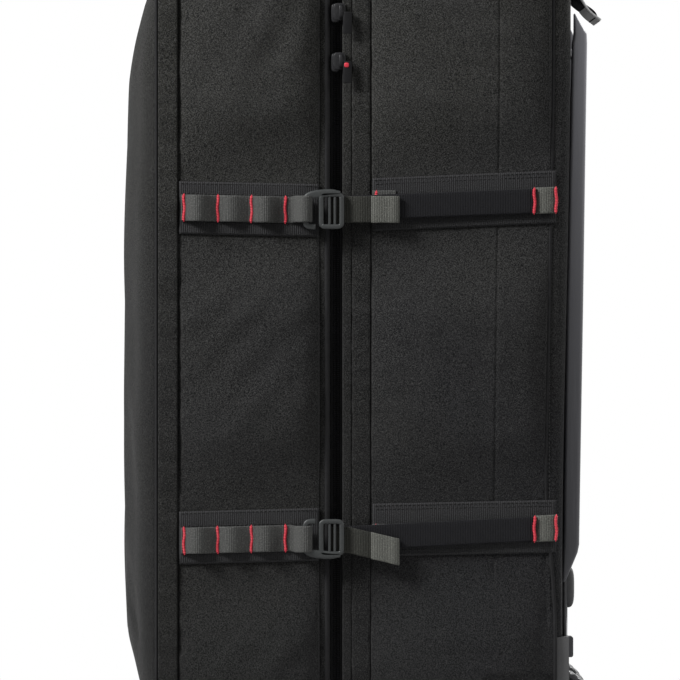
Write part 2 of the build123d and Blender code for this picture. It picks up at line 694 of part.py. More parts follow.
# ---- loop with a blank label at the back -------------------------------------------------------------
LOOP_WIDTH = 25.0
LOOP_THICK = 4.0
LOOP_DROP = 36.0
LOOP_OUT = 24.0
LABEL_THICK = 1.0
LABEL_LENGTH = 28.0
slope = LOOP_OUT / LOOP_DROP
with BuildPart() as rear_loop:
    with BuildSketch(Plane.YZ.offset(-LOOP_WIDTH / 2)):
        with BuildLine():
            Polyline(
                (BACK_FACE, LOOP_Z),
                (BACK_FACE, LOOP_Z - LOOP_THICK / slope),
                (BACK_FACE + LOOP_OUT - LOOP_THICK, LOOP_Z - LOOP_DROP),
                (BACK_FACE + LOOP_OUT, LOOP_Z - LOOP_DROP),
                close=True,
            )
        make_face()
    extrude(amount=LOOP_WIDTH)
save(rear_loop, "rear_loop")

with BuildPart() as rear_loop_label:
    with BuildSketch(Plane.YZ.offset(-LOOP_WIDTH / 2)):
        with BuildLine():
            Polyline(
                (BACK_FACE + LOOP_OUT - slope * LABEL_LENGTH, LOOP_Z - LOOP_DROP + LABEL_LENGTH),
                (BACK_FACE + LOOP_OUT, LOOP_Z - LOOP_DROP),
                (BACK_FACE + LOOP_OUT + LABEL_THICK, LOOP_Z - LOOP_DROP),
                (
                    BACK_FACE + LOOP_OUT + LABEL_THICK - slope * LABEL_LENGTH,
                    LOOP_Z - LOOP_DROP + LABEL_LENGTH,
                ),
                close=True,
            )
        make_face()
    extrude(amount=LOOP_WIDTH)
save(rear_loop_label, "rear_loop_label")


# ---- feet -----------------------------------------------------------------------------------------------
def feet(centre_y):
    """A pair of rubber feet between the floor and the bottom of the bag."""
    with BuildPart() as pair:
        for side in (-FOOT_X, FOOT_X):
            with Locations((side, centre_y, FLOOR_GAP / 2)):
                Box(FOOT_SIZE[0], FOOT_SIZE[1], FLOOR_GAP)
        fillet(pair.edges().filter_by(Axis.Z), radius=FOOT_ROUND)
    return pair


save(feet(LID_FOOT_Y), "front_feet")
save(feet(MID_FOOT_Y), "middle_feet")
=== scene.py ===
# %% [markdown]
# # A wheeled snowboard bag
# The CAD model gives the frame: every body, every size and every place. This lesson dresses it.
# The soft parts of a bag are cloth over foam, so each is one curved skin worked out on a grid,
# and everything sewn to it (webbing, stitches, bar tacks) follows that same skin.

# %% Load the frame
import json
import math

import bmesh
import bpy
import mathutils
import numpy as np
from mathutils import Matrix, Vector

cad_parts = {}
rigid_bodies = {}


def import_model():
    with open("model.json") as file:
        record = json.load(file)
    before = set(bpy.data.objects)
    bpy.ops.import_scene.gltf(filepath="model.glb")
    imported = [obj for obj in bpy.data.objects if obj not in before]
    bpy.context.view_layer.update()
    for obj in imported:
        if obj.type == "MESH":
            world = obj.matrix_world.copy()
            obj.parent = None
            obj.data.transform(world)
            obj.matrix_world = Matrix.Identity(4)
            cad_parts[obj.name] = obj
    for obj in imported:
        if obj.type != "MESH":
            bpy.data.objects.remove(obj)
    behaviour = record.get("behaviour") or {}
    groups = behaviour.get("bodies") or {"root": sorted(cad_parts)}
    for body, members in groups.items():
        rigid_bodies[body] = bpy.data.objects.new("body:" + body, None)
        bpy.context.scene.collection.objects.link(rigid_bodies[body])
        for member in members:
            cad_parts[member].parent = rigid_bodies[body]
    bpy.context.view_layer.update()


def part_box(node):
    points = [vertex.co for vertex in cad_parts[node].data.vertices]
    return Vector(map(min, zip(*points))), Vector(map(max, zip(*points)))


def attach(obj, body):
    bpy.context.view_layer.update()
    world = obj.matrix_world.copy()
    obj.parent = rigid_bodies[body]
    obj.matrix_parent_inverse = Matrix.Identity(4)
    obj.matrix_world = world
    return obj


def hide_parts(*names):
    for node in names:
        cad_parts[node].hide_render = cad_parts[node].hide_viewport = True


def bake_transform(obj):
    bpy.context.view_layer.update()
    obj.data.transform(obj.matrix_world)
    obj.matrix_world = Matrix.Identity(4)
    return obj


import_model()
MM = 0.001
X_AXIS, Y_AXIS, Z_AXIS = np.eye(3)


def node_box(name):
    """Lowest and highest corner of a CAD node, as two arrays in metres."""
    low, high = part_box(name)
    return np.array(low, float), np.array(high, float)


# %% [markdown]
# The camera looks straight at the strap side from far away with a long lens, so the bag's
# outlines stay parallel. It sees the lower third of the bag: the wheels just below the view, two
# sets of straps, and the skid rails.

# %% Camera
SHELL_LOW, SHELL_HIGH = node_box("back_shell")
SIDE_X = SHELL_HIGH[0]
VIEW_WIDTH = 510 * MM
VIEW_DISTANCE = 9.0
VIEW_CENTRE = (-17.8 * MM, 315.8 * MM)
camera_data = bpy.data.cameras.new("camera")
camera_data.sensor_width = 36
camera_data.lens = camera_data.sensor_width * VIEW_DISTANCE / VIEW_WIDTH
camera_data.clip_end = 50
camera = bpy.data.objects.new("camera", camera_data)
camera.location = (SIDE_X + VIEW_DISTANCE, VIEW_CENTRE[0], VIEW_CENTRE[1])
camera.rotation_euler = (math.radians(90), 0, math.radians(90))
bpy.context.scene.collection.objects.link(camera)
bpy.context.scene.camera = camera

# %% [markdown]
# Shader maths reads best as arithmetic. `Wire` wraps one socket, so `1 - mask * 0.5` adds the
# Math nodes that say so. Colours go through Mix nodes instead, because Math turns them grey.

# %% Shader arithmetic
class Wire:
    """One output socket of a material, with the operators that shader maths needs."""

    def __init__(self, finish, socket):
        self.finish = finish
        self.socket = socket

    def _math(self, operation, first, second):
        return self.finish.add("ShaderNodeMath", {"operation": operation}, {0: first, 1: second})[0]

    def __add__(self, other):
        return self._math("ADD", self, other)

    __radd__ = __add__

    def __sub__(self, other):
        return self._math("SUBTRACT", self, other)

    def __rsub__(self, other):
        return self._math("SUBTRACT", other, self)

    def __mul__(self, other):
        return self._math("MULTIPLY", self, other)

    __rmul__ = __mul__

    def power(self, exponent):
        return self._math("POWER", self, exponent)

    def sine(self):
        return self._math("SINE", self, 0.0)


class Finish:
    """A material with a Principled shader, its node adder and its coordinates."""

    def __init__(self, name, roughness=0.85, **constants):
        self.material = bpy.data.materials.new(name)
        self.material.use_nodes = True
        self.tree = self.material.node_tree
        self.shader = self.tree.nodes["Principled BSDF"]
        self.set("Roughness", roughness)
        for key, value in constants.items():
            self.set(key.replace("_", " "), value)

    def add(self, kind, settings=None, inputs=None):
        """Adds a node, sets it up, links or fills its inputs and returns its outputs."""
        node = self.tree.nodes.new(kind)
        for key, value in (settings or {}).items():
            setattr(node, key, value)
        for key, value in (inputs or {}).items():
            if isinstance(value, Wire):
                self.tree.links.new(value.socket, node.inputs[key])
            else:
                node.inputs[key].default_value = value
        return [Wire(self, output) for output in node.outputs]

    def set(self, name, value):
        if isinstance(value, Wire):
            self.tree.links.new(value.socket, self.shader.inputs[name])
        else:
            self.shader.inputs[name].default_value = value

    def place(self, kind="Object"):
        coordinates = self.tree.nodes.new("ShaderNodeTexCoord")
        return Wire(self, coordinates.outputs[kind])

    def axes(self, place):
        return self.add("ShaderNodeSeparateXYZ", None, {0: place})

    def noise(self, scale, detail=2.0, stretch=(1, 1, 1), place=None):
        """Noise from 0 to 1, with features about 1/scale metres across."""
        moved = self.add(
            "ShaderNodeMapping", None, {"Vector": place or self.place(), "Scale": stretch}
        )[0]
        return self.add(
            "ShaderNodeTexNoise", None, {"Vector": moved, "Scale": scale, "Detail": detail}
        )[0]

    def blend(self, factor, first, second):
        """A colour between two colours."""
        outputs = self.add(
            "ShaderNodeMix", {"data_type": "RGBA"}, {0: factor, 6: first, 7: second}
        )
        return outputs[2]

    def span(self, value, low, high):
        """The value stretched so that low becomes 0 and high becomes 1, and held there."""
        return self.add("ShaderNodeMapRange", None, {0: value, 1: low, 2: high})[0]

    def bump(self, height, distance, strength=1.0, after=None):
        inputs = {"Height": height, "Distance": distance, "Strength": strength}
        if after is not None:
            inputs["Normal"] = after
        return self.add("ShaderNodeBump", None, inputs)[0]


def rgb(*values):
    return (*values, 1.0)


# %% [markdown]
# The shell cloth is a dense, dull polyester. Close up it is a plain weave with a heather: most
# yarns are charcoal, a few are pale. From a metre away that reads as a fine grain, and the
# whole cloth drifts between a slightly olive and a slightly blue charcoal.

# %% Shell cloth
WEAVE_PITCH = 0.9 * MM


def shell_cloth(name, olive, blue, heather=1.0):
    """Charcoal cloth with weave, pale heather yarns and soft creases, and painted shade that darkens it lower
    down.
    """
    cloth = Finish(name, Sheen_Weight=0.04, Sheen_Roughness=0.45, Specular_IOR_Level=0.10)
    x, y, z = cloth.axes(cloth.place())
    turn = 2 * math.pi / WEAVE_PITCH
    weave = ((x + y) * turn).sine() * (z * turn).sine()
    grain = cloth.span(cloth.noise(900, 1.0), 0.32, 0.66)
    yarns = cloth.span(cloth.noise(1200, 0.0, (1, 1, 1.3)), 0.46, 0.76)
    drift = cloth.span(cloth.noise(5.0, 2.0) + (z * 0.9 - y * 1.1) * 0.6, 0.30, 0.85)
    cloud = cloth.noise(24, 3.0)
    base = cloth.blend(drift, rgb(*blue), rgb(*olive))
    dark = cloth.blend(grain * 0.92, base, rgb(0.002, 0.002, 0.0022))
    pale = cloth.blend(yarns * 0.62, dark, rgb(*[c * heather for c in (0.078, 0.078, 0.076)]))
    final = cloth.blend(cloth.span(cloud, 0.35, 0.75) * 0.16, pale, rgb(0.030, 0.030, 0.031))
    # Painted shade: the colour is blended towards near black lower down the bag, standing in for the light
    # falling off there.
    deep = cloth.span(z * -1.0 + y * 0.10, -0.64, -0.10)
    cloth.set("Base Color", cloth.blend(deep * 0.50, final, rgb(0.002, 0.002, 0.0024)))
    cloth.set("Roughness", 0.80 + grain * 0.14)
    crease = cloth.noise(16, 4.0, (1, 1.5, 0.8))
    fine = cloth.bump(weave + grain * 1.6, 0.00022, 0.55)
    cloth.set("Normal", cloth.bump(crease, 0.0035, 0.55, fine))
    return cloth.material


SHELL = shell_cloth("shell_cloth", (0.0300, 0.0300, 0.0265), (0.0225, 0.0225, 0.0262))
POCKET = shell_cloth("pocket_cloth", (0.0150, 0.0150, 0.0130), (0.0120, 0.0120, 0.0132), 0.62)
BORDER = shell_cloth("border_cloth", (0.0185, 0.0185, 0.0155), (0.0120, 0.0120, 0.0132))
FLAP_CLOTH = shell_cloth("flap_cloth", (0.0250, 0.0250, 0.0210), (0.0175, 0.0175, 0.0190))

# %% [markdown]
# Webbing is woven in ribs along its length, so its pattern follows the strip and reads the
# strip's own UV map, which is laid out in metres: U along the webbing, V across it.

# %% Webbing, thread, lining and label
def webbing(name, colour, pale, rib=1.25 * MM, across=True, speckle=0.5):
    """Ribbed webbing: ridges across or along the strip, with a heather of paler yarns."""
    band = Finish(name, Sheen_Weight=0.03, Sheen_Roughness=0.4, Specular_IOR_Level=0.08)
    place = band.place("UV")
    u, v = band.axes(place)[:2]
    ridge = ((u if across else v) * (2 * math.pi / rib)).sine()
    yarn = (v * (2 * math.pi / (0.8 * MM))).sine()
    spots = band.span(band.noise(900, 1.0, place=place), 0.45, 0.75)
    shade = rgb(*[c * 0.35 for c in colour])
    ground = band.blend(band.span(ridge, -1.0, 1.0) * 0.45, rgb(*colour), shade)
    band.set("Base Color", band.blend(spots * speckle, ground, rgb(*pale)))
    band.set("Roughness", 0.72 + spots * 0.15)
    band.set("Normal", band.bump(ridge + yarn * 0.35 + spots, 0.00030, 0.6))
    return band.material


STRAP_BLACK = webbing("strap_black", (0.0085, 0.0085, 0.0098), (0.017, 0.017, 0.019))
STRAP_GREY = webbing("strap_grey", (0.092, 0.094, 0.084), (0.19, 0.19, 0.172))
TAIL_DARK = webbing("tail_dark", (0.026, 0.0265, 0.023), (0.060, 0.060, 0.053))
LOOP_GREY = webbing("loop_grey", (0.056, 0.057, 0.055), (0.125, 0.125, 0.118))
BAND_RIBBED = webbing("band_ribbed", (0.024, 0.024, 0.025), (0.050, 0.050, 0.051), 1.6 * MM)


def plain(name, colour, other, scale, depth, roughness=0.7, **constants):
    """A dull moulded or spun surface: two tones mixed by noise, and a fine bump."""
    finish = Finish(name, roughness, **constants)
    mottle = finish.noise(scale, 3.0)
    worn = finish.span(finish.noise(scale * 0.12, 4.0), 0.45, 0.8)
    finish.set("Base Color", finish.blend(finish.span(mottle, 0.3, 0.7), rgb(*colour), rgb(*other)))
    finish.set("Roughness", roughness - worn * 0.12)
    finish.set("Normal", finish.bump(mottle, depth, 0.5))
    return finish.material


RED_THREAD = plain("red_thread", (0.52, 0.014, 0.034), (0.34, 0.008, 0.022), 1400, 0.0001, 0.6)
DULL = {"Specular_IOR_Level": 0.1}
GREY_THREAD = plain("grey_thread", (0.034, 0.034, 0.034), (0.018, 0.018, 0.018), 1500, 0.0001, **DULL)
LINING = plain("lining", (0.012, 0.012, 0.013), (0.008, 0.008, 0.009), 700, 0.0001, 0.8, **DULL)
PIPING = plain("piping", (0.0075, 0.0075, 0.008), (0.013, 0.013, 0.0135), 900, 0.0001, 0.7, **DULL)
# Partly painted shade: the zip is black, and its colour is made darker still so that the gap between the halves
# reads as deep shade.
ZIP_BLACK_AND_SHADE = plain("zip_black_and_shade", (0.0035, 0.0035, 0.004), (0.007, 0.007, 0.0075), 1200, 0.0001, 0.55, **DULL)
LABEL = plain("label", (0.72, 0.72, 0.72), (0.62, 0.62, 0.62), 1200, 0.0001, 0.8)
RUBBER = plain("rubber", (0.016, 0.016, 0.017), (0.028, 0.028, 0.030), 300, 0.0002, 0.75)
TYRE = plain("tyre_rubber", (0.018, 0.018, 0.019), (0.035, 0.035, 0.036), 260, 0.0002, 0.6)
HOUSING = plain("housing_plastic", (0.042, 0.042, 0.043), (0.034, 0.034, 0.035), 900, 0.00012, 0.62)
HUB = plain("hub_plastic", (0.10, 0.10, 0.105), (0.07, 0.07, 0.074), 500, 0.0001, 0.5)
SHEET = plain("sheet_plastic", (0.02, 0.02, 0.02), (0.03, 0.03, 0.03), 300, 0.0002, 0.5)
STEEL = plain("steel", (0.50, 0.50, 0.51), (0.40, 0.40, 0.41), 900, 0.00003, 0.35, Metallic=1.0)
HOOK_METAL = plain(
    "hook_lacquer", (0.024, 0.026, 0.026), (0.016, 0.018, 0.018), 700, 0.00004, 0.5,
    Specular_IOR_Level=0.3,
)
ZIP_METAL = plain(
    "zip_lacquer", (0.010, 0.010, 0.011), (0.018, 0.018, 0.019), 700, 0.00004, 0.42,
    Specular_IOR_Level=0.12,
)


def rail_finish():
    """Blue-grey rail with painted light that makes it paler near its top, and fine lengthwise scuffs on the
    proud edge.
    """
    rail = Finish("rail_plastic", 0.5, Specular_IOR_Level=0.4)
    x, y, z = rail.axes(rail.place())
    # Painted light: the rail goes from a dark tone at its foot to a pale one near its top, standing in for the
    # light on its upper part.
    rise = rail.span(z, 0.13, 0.56).power(2.2)
    scuffs = rail.span(rail.noise(420, 3.0, (1, 1, 0.05)), 0.5, 0.75)
    mottle = rail.noise(900, 2.0)
    low = rail.blend(rise, rgb(0.039, 0.039, 0.044), rgb(0.30, 0.30, 0.325))
    scratched = rail.blend(scuffs * 0.22, low, rgb(0.17, 0.17, 0.18))
    rail.set("Base Color", rail.blend(mottle * 0.18, scratched, rgb(0.03, 0.03, 0.033)))
    rail.set("Roughness", 0.46 + scuffs * 0.18)
    rail.set("Normal", rail.bump(scuffs + mottle * 0.5, 0.0001, 0.4))
    return rail.material


RAIL = rail_finish()
print("materials", len(bpy.data.materials))

# %% [markdown]
# A surface is a grid of points, `(rows, columns, 3)`. `surface` turns the grid into faces,
# closing it round where asked. Everything below is a formula for such a grid.

# %% Surfaces from grids
def mesh_object(name, points, faces, materials, uv=None):
    """A mesh object at the origin from vertices and quads, smooth shaded."""
    mesh = bpy.data.meshes.new(name)
    mesh.from_pydata(points.tolist(), [], faces.tolist())
    mesh.polygons.foreach_set("use_smooth", np.ones(len(mesh.polygons), bool))
    for material in materials:
        mesh.materials.append(material)
    if uv is not None:
        layer = mesh.uv_layers.new(name="UVMap")
        corners = np.zeros(len(mesh.loops), int)
        mesh.loops.foreach_get("vertex_index", corners)
        layer.data.foreach_set("uv", uv[corners].astype(np.float32).ravel())
    mesh.update()
    thing = bpy.data.objects.new(name, mesh)
    bpy.context.scene.collection.objects.link(thing)
    return thing


def grid_faces(rows, columns, wrap_rows, wrap_columns, first=0):
    """Quads between neighbouring rows and columns, with the last joined to the first if wrapped."""
    last_row = rows if wrap_rows else rows - 1
    last_column = columns if wrap_columns else columns - 1
    r, c = np.meshgrid(np.arange(last_row), np.arange(last_column), indexing="ij")
    r2, c2 = (r + 1) % rows, (c + 1) % columns
    quads = np.stack([r * columns + c, r * columns + c2, r2 * columns + c2, r2 * columns + c], -1)
    return quads.reshape(-1, 4) + first


def surface(name, grid, materials, wrap_rows=False, wrap_columns=False, flip=False, uv=None):
    """One grid as a mesh object; flip turns its faces to the other side."""
    rows, columns = grid.shape[:2]
    faces = grid_faces(rows, columns, wrap_rows, wrap_columns)
    if flip:
        faces = faces[:, ::-1]
    return mesh_object(name, grid.reshape(-1, 3), faces, materials, uv)


def unit(vectors):
    return vectors / np.maximum(np.linalg.norm(vectors, axis=-1, keepdims=True), 1e-12)


def tube_grid(path, across, out, profile, closed=False):
    """Carries a profile along a path: point = path + a * across + b * out for each (a, b).

    profile is (k, 2), or (n, k, 2) where it changes along the path. Open tubes get their two
    ends pulled in to a point, so the skin is closed.
    """
    if profile.ndim == 2:
        profile = np.broadcast_to(profile, (len(path), *profile.shape))
    grid = (
        path[:, None]
        + profile[..., :1] * across[:, None]
        + profile[..., 1:] * out[:, None]
    )
    if not closed:
        start = np.broadcast_to(grid[0].mean(0), grid[:1].shape)
        end = np.broadcast_to(grid[-1].mean(0), grid[:1].shape)
        grid = np.concatenate([start, grid, end])
    return grid


def round_bar(width, thick, corners=4, power=4.0):
    """Rounded rectangle by a superellipse: |a/w|^p + |b/t|^p = 1, walked round once."""
    count = 4 * corners
    turn = np.arange(count) * 2 * np.pi / count + np.pi / count
    a = np.sign(np.cos(turn)) * np.abs(np.cos(turn)) ** (2 / power)
    b = np.sign(np.sin(turn)) * np.abs(np.sin(turn)) ** (2 / power)
    return np.stack([a * width / 2, b * thick / 2], -1)


def lengths(path):
    """Length along a path from its start to each of its points."""
    return np.concatenate([[0], np.cumsum(np.linalg.norm(np.diff(path, axis=0), axis=1))])


def at_lengths(path, wanted):
    """The points of a path that lie at the wanted lengths from its start."""
    steps = lengths(path)
    return np.stack([np.interp(wanted, steps, path[:, k]) for k in range(path.shape[1])], -1)


def spread(axis, path):
    """One direction repeated for every point of a path."""
    return np.broadcast_to(axis, path.shape)


def smooth_path(points, count):
    """A smooth line through a few points: Catmull-Rom pieces, sampled evenly by length."""
    points = np.asarray(points, float)
    padded = np.concatenate([2 * points[:1] - points[1:2], points, 2 * points[-1:] - points[-2:-1]])
    t = np.linspace(0, 1, 12, endpoint=False)[None, :, None]
    p0, p1, p2, p3 = (padded[i : len(padded) - 3 + i, None] for i in range(4))
    curve = 0.5 * (
        2 * p1 + (p2 - p0) * t + (2 * p0 - 5 * p1 + 4 * p2 - p3) * t**2
        + (3 * p1 - p0 - 3 * p2 + p3) * t**3
    )
    curve = np.concatenate([curve.reshape(-1, points.shape[1]), points[-1:]])
    return at_lengths(curve, np.linspace(0, lengths(curve)[-1], count))


def strip(name, path, across, width, thick, material, closed=False):
    """Flat webbing along a path, its UV map in metres along and across."""
    path = np.asarray(path, float)
    along = unit(np.gradient(path, axis=0))
    across = unit(np.broadcast_to(np.asarray(across, float), path.shape))
    out = unit(np.cross(along, across))
    profile = round_bar(width, thick, 3, 6.0)
    grid = tube_grid(path, across, out, profile, closed)
    length = lengths(path)
    if not closed:
        length = np.concatenate([length[:1], length, length[-1:]])
    u = np.broadcast_to(length[:, None], grid.shape[:2])
    v = np.broadcast_to(profile[None, :, 0], grid.shape[:2])
    uv = np.stack([u, v], -1).reshape(-1, 2)
    return surface(name, grid, [material], closed, True, True, uv)


def joined(name, parts):
    """Several mesh objects made into one, keeping their UV maps and materials."""
    bpy.ops.object.select_all(action="DESELECT")
    for part in parts:
        part.select_set(True)
    bpy.context.view_layer.objects.active = parts[0]
    if len(parts) > 1:
        bpy.ops.object.join()
    whole = bpy.context.view_layer.objects.active
    whole.name = name
    whole.data.name = name
    return whole


def tidy_mesh(thing, merge=0.00001):
    """Merges doubles and turns the faces outwards."""
    bpy.ops.object.select_all(action="DESELECT")
    thing.select_set(True)
    bpy.context.view_layer.objects.active = thing
    bpy.ops.object.mode_set(mode="EDIT")
    bpy.ops.mesh.select_all(action="SELECT")
    bpy.ops.mesh.remove_doubles(threshold=merge)
    bpy.ops.mesh.normals_make_consistent(inside=False)
    bpy.ops.object.mode_set(mode="OBJECT")
    return thing


def finish_piece(thing, body, slot, *nodes):
    """Puts a piece on its body and hides the CAD nodes it stands for. Its finish name (slot) is not used."""
    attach(thing, body)
    if nodes:
        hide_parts(*nodes)
    return thing

# %% [markdown]
# Each half of the bag is a padded tray. Seen from the front its outline is a rounded rectangle;
# the skin starts at the rim, runs along the side walls, turns round an edge and closes on the
# middle line of the big panel. Real side walls swell between the straps, pinch where a strap
# crosses, pull in at every seam, and carry soft slanting creases.

# %% Outline stations
STRAPS = (1, 2, 3, 4)
STRAP_Z = {i: float(np.mean([b[2] for b in node_box(f"strap_{i}")])) for i in STRAPS}
CORNER = 46 * MM
FINE_TOP = 0.63


def stations(half, low, high, corner, fine=3 * MM, coarse=14 * MM):
    """Points (x, z) and outward normals round a rounded rectangle, denser low on the +X side."""
    split = min(FINE_TOP, high - corner - 0.05)
    side = np.concatenate([
        np.arange(low + corner, split, fine), np.arange(split, high - corner, coarse)
    ])
    level = np.linspace(-half + corner, half - corner, int(2 * half / coarse) + 2)[:-1]
    down = np.concatenate([[high - corner], side[:0:-1]])
    arc = np.linspace(0, np.pi / 2, 9)[:-1]
    pieces = [
        (np.full(len(side), half), side, np.ones(len(side)), np.zeros(len(side))),
        (half - corner + corner * np.cos(arc), high - corner + corner * np.sin(arc),
         np.cos(arc), np.sin(arc)),
        (-level, np.full(len(level), high), np.zeros(len(level)), np.ones(len(level))),
        (corner - half - corner * np.sin(arc), high - corner + corner * np.cos(arc),
         -np.sin(arc), np.cos(arc)),
        (np.full(len(down), -half), down, -np.ones(len(down)), np.zeros(len(down))),
        (corner - half - corner * np.cos(arc), low + corner - corner * np.sin(arc),
         -np.cos(arc), -np.sin(arc)),
        (level, np.full(len(level), low), np.zeros(len(level)), -np.ones(len(level))),
        (half - corner + corner * np.sin(arc), low + corner - corner * np.cos(arc),
         np.sin(arc), -np.cos(arc)),
    ]
    return [np.concatenate(column) for column in zip(*pieces)]


def creases(a, b, seed, count=9, wave=(0.05, 0.16), tilt=0.9):
    """Soft creases: a sum of sines along random slanting directions, about -1 to 1."""
    draw = np.random.default_rng(seed)
    total = 0
    for _ in range(count):
        angle = tilt + draw.normal(0, 0.5)
        turn = 2 * np.pi / draw.uniform(*wave)
        phase = draw.uniform(0, 2 * np.pi)
        total = total + np.sin(turn * (a * np.cos(angle) + b * np.sin(angle)) + phase)
    return total / np.sqrt(count)


# %% The two trays as formulas
BACK_RIM = SHELL_LOW[1]
BACK_DEPTH = SHELL_HIGH[1] - SHELL_LOW[1]
FRONT_LOW, FRONT_HIGH = node_box("front_shell")
FRONT_RIM = FRONT_HIGH[1]
FRONT_DEPTH = FRONT_HIGH[1] - FRONT_LOW[1]
NOSE_DEPTH = 86 * MM
TAPER_Z = 0.700
SWELL = 11 * MM
SEAM_WIDTH = 0.9 * MM
BACK_SEAMS = ((7 * MM, 0.5 * MM), (21.5 * MM, 1.7 * MM), (118 * MM, 0.7 * MM), (158 * MM, 1.5 * MM))
FRONT_SEAMS = ((7.6 * MM, 1.3 * MM), (114.5 * MM, 1.8 * MM))
BACK_PANEL = (21.5 * MM, 158 * MM, 25 * MM, 13 * MM)
FRONT_PANEL = (7.6 * MM, 114.5 * MM, 10 * MM, 25 * MM)


def front_depth(z):
    """Depth of the front half: constant low down, thinner towards the nose."""
    rise = np.clip((z - TAPER_Z) / (FRONT_HIGH[2] - TAPER_Z), 0, 1)
    return FRONT_DEPTH - rise * (FRONT_DEPTH - NOSE_DEPTH)


def smooth_step(value, low, high):
    share = np.clip((value - low) / (high - low), 0, 1)
    return share * share * (3 - 2 * share)


def back_depth(z):
    """Depth of the back half: drawn in steadily towards the foot of the skid rails."""
    return BACK_DEPTH - 6.5 * MM * (1 - smooth_step(z, 0.12, 0.56))


def lift(w, z, depth, seams, panel, rim_roll, seed):
    """How far a side wall stands out of its flat plane, w metres from the rim at height z.

    The panel between its two seams swells by (1 - e^(-a/p)) (1 - e^(-b/q)), where a and b are
    the distances from the seams. A strap's band holds it in, a roll rounds the rim, each seam
    is a groove with puckers, and slanting drag lines cross the slack parts.
    """
    held = sum(1 - smooth_step(np.abs(z - h), 23 * MM, 85 * MM) for h in STRAP_Z.values())
    held = np.clip(held, 0, 1)
    near_seam, far_seam, near_reach, far_reach = panel
    scale = depth / depth.max()
    a = np.maximum(w - near_seam * scale, 0)
    b = np.maximum(far_seam * scale - w, 0)
    full = (1 - np.exp(-a / near_reach)) * (1 - np.exp(-b / far_reach))
    swell = SWELL * full * (1 - 0.97 * held)
    roll = rim_roll * np.exp(-w / (4.5 * MM))
    groove, pucker = 0, 0
    for place, deep in seams:
        away = np.abs(w - place * scale)
        groove = groove + deep * np.exp(-((away / SEAM_WIDTH) ** 2))
        ripple = np.sin(z * 2 * np.pi / (17 * MM) + 2.2 * np.sin(z * 41 + place * 900))
        pucker = pucker + 0.30 * MM * ripple * np.exp(-away / (7 * MM))
    soft = 1.15 * MM * creases(w, z, seed) + 0.34 * MM * creases(w, z, seed + 1, 9, (0.018, 0.05))
    slack = np.clip(creases(w, z, seed + 2, 6, (0.12, 0.3)), 0, 1) * (1 - held)
    drag = 0.85 * MM * np.sin((z + 1.15 * w) * 2 * np.pi / 0.043 + 3 * np.sin(z * 17)) * slack
    free = (1 - 0.8 * held) * full
    return swell - roll - groove + pucker * (1 - 0.7 * held) + (soft + drag) * free


def back_lift(w, z):
    """The common lift, kept clear of the wheel housing at the lower back corner."""
    plain_lift = lift(w, z, back_depth(z), BACK_SEAMS, BACK_PANEL, 2.2 * MM, 11)
    near_housing = (1 - smooth_step(z, 0.085, 0.115)) * smooth_step(w, 0.095, 0.108)
    return plain_lift + near_housing * (2.0 * MM - np.minimum(plain_lift, 2.0 * MM))


def front_lift(w, z):
    return lift(w, z, front_depth(z), FRONT_SEAMS, FRONT_PANEL, 6.0 * MM, 23)


def strap_side_x(y, z):
    """X of the skin on the strap side at any y and z."""
    y, z = np.broadcast_arrays(np.asarray(y, float), np.asarray(z, float))
    back = SIDE_X + back_lift(np.maximum(y - BACK_RIM, 0), z)
    front = SIDE_X + front_lift(np.maximum(FRONT_RIM - y, 0), z)
    return np.where(y > (BACK_RIM + FRONT_RIM) / 2, back, front)


def tray_grid(ring, rim, direction, depth, wall_lift, seams, edge, crown):
    """Rim to middle line: side wall, quarter-round edge, then the big panel.

    side wall:  outline + normal * lift(w) * calm,    y = rim + direction * w
    edge:       inset r (1 - cos a),                  y grows by r sin a
    big panel:  outline slides to the middle line,    y bulges by crown * (1 - (1 - t)^2)
    The hinge side and the top, where nothing but handles sit, are calmer than the strap side.
    """
    x, z, nx, nz = (column[:, None] for column in ring)
    deep = depth(z)
    edge = edge(z)
    flat = (deep - edge).max()
    w = np.linspace(0, flat, 44)
    near = [s[0] + np.array([-3.2, -2.0, -1.2, -0.6, 0, 0.6, 1.2, 2.0, 3.2]) * MM for s in seams]
    w = np.unique(np.concatenate([w, *near, np.array([0.7, 1.6, 2.8]) * MM]))
    w = w[(w >= 0) & (w <= flat)][None]
    w = w * (deep - edge) / flat
    calm = 1 - 0.75 * np.maximum(smooth_step(-nx, 0.2, 0.9), smooth_step(nz, 0.3, 0.9))
    out = wall_lift(w, z) * calm
    wall = [x + nx * out, rim + direction * w + 0 * x, z + nz * out]
    angle = np.linspace(0, np.pi / 2, 8)[None, 1:]
    end = wall_lift(deep - edge, z) * calm
    inset = end * (1 - np.sin(angle)) - edge * (1 - np.cos(angle))
    turn = [x + nx * inset, rim + direction * (deep - edge + edge * np.sin(angle)) + 0 * x, z + nz * inset]
    half, low, high = x.max(), z.min(), z.max()
    middle_z = np.clip(z, low + half, high - half)
    t = (np.linspace(0, 1, 20)[None, 1:]) ** 1.15
    start_x, start_z = turn[0][:, -1:], turn[2][:, -1:]
    px = start_x * (1 - t)
    pz = start_z + (middle_z - start_z) * t
    soft = 0.5 * MM * creases(px, pz, 5 + int(direction)) * np.minimum(1, 4 * t)
    puff = crown(pz) * (1 - (1 - t) ** 2) + soft
    local = depth(pz) + (deep - depth(start_z)) * (1 - t)
    panel = [px, rim + direction * (local + puff), pz]
    return np.stack([np.concatenate(parts, 1) for parts in zip(wall, turn, panel)], -1)


# %% [markdown]
# A skin becomes a padded wall with Solidify, which gives the inner side the lining's material.
# The housing at the lower back corner pokes through the cloth, so the back skin is cut along
# four planes there and the faces inside the notch are taken out.

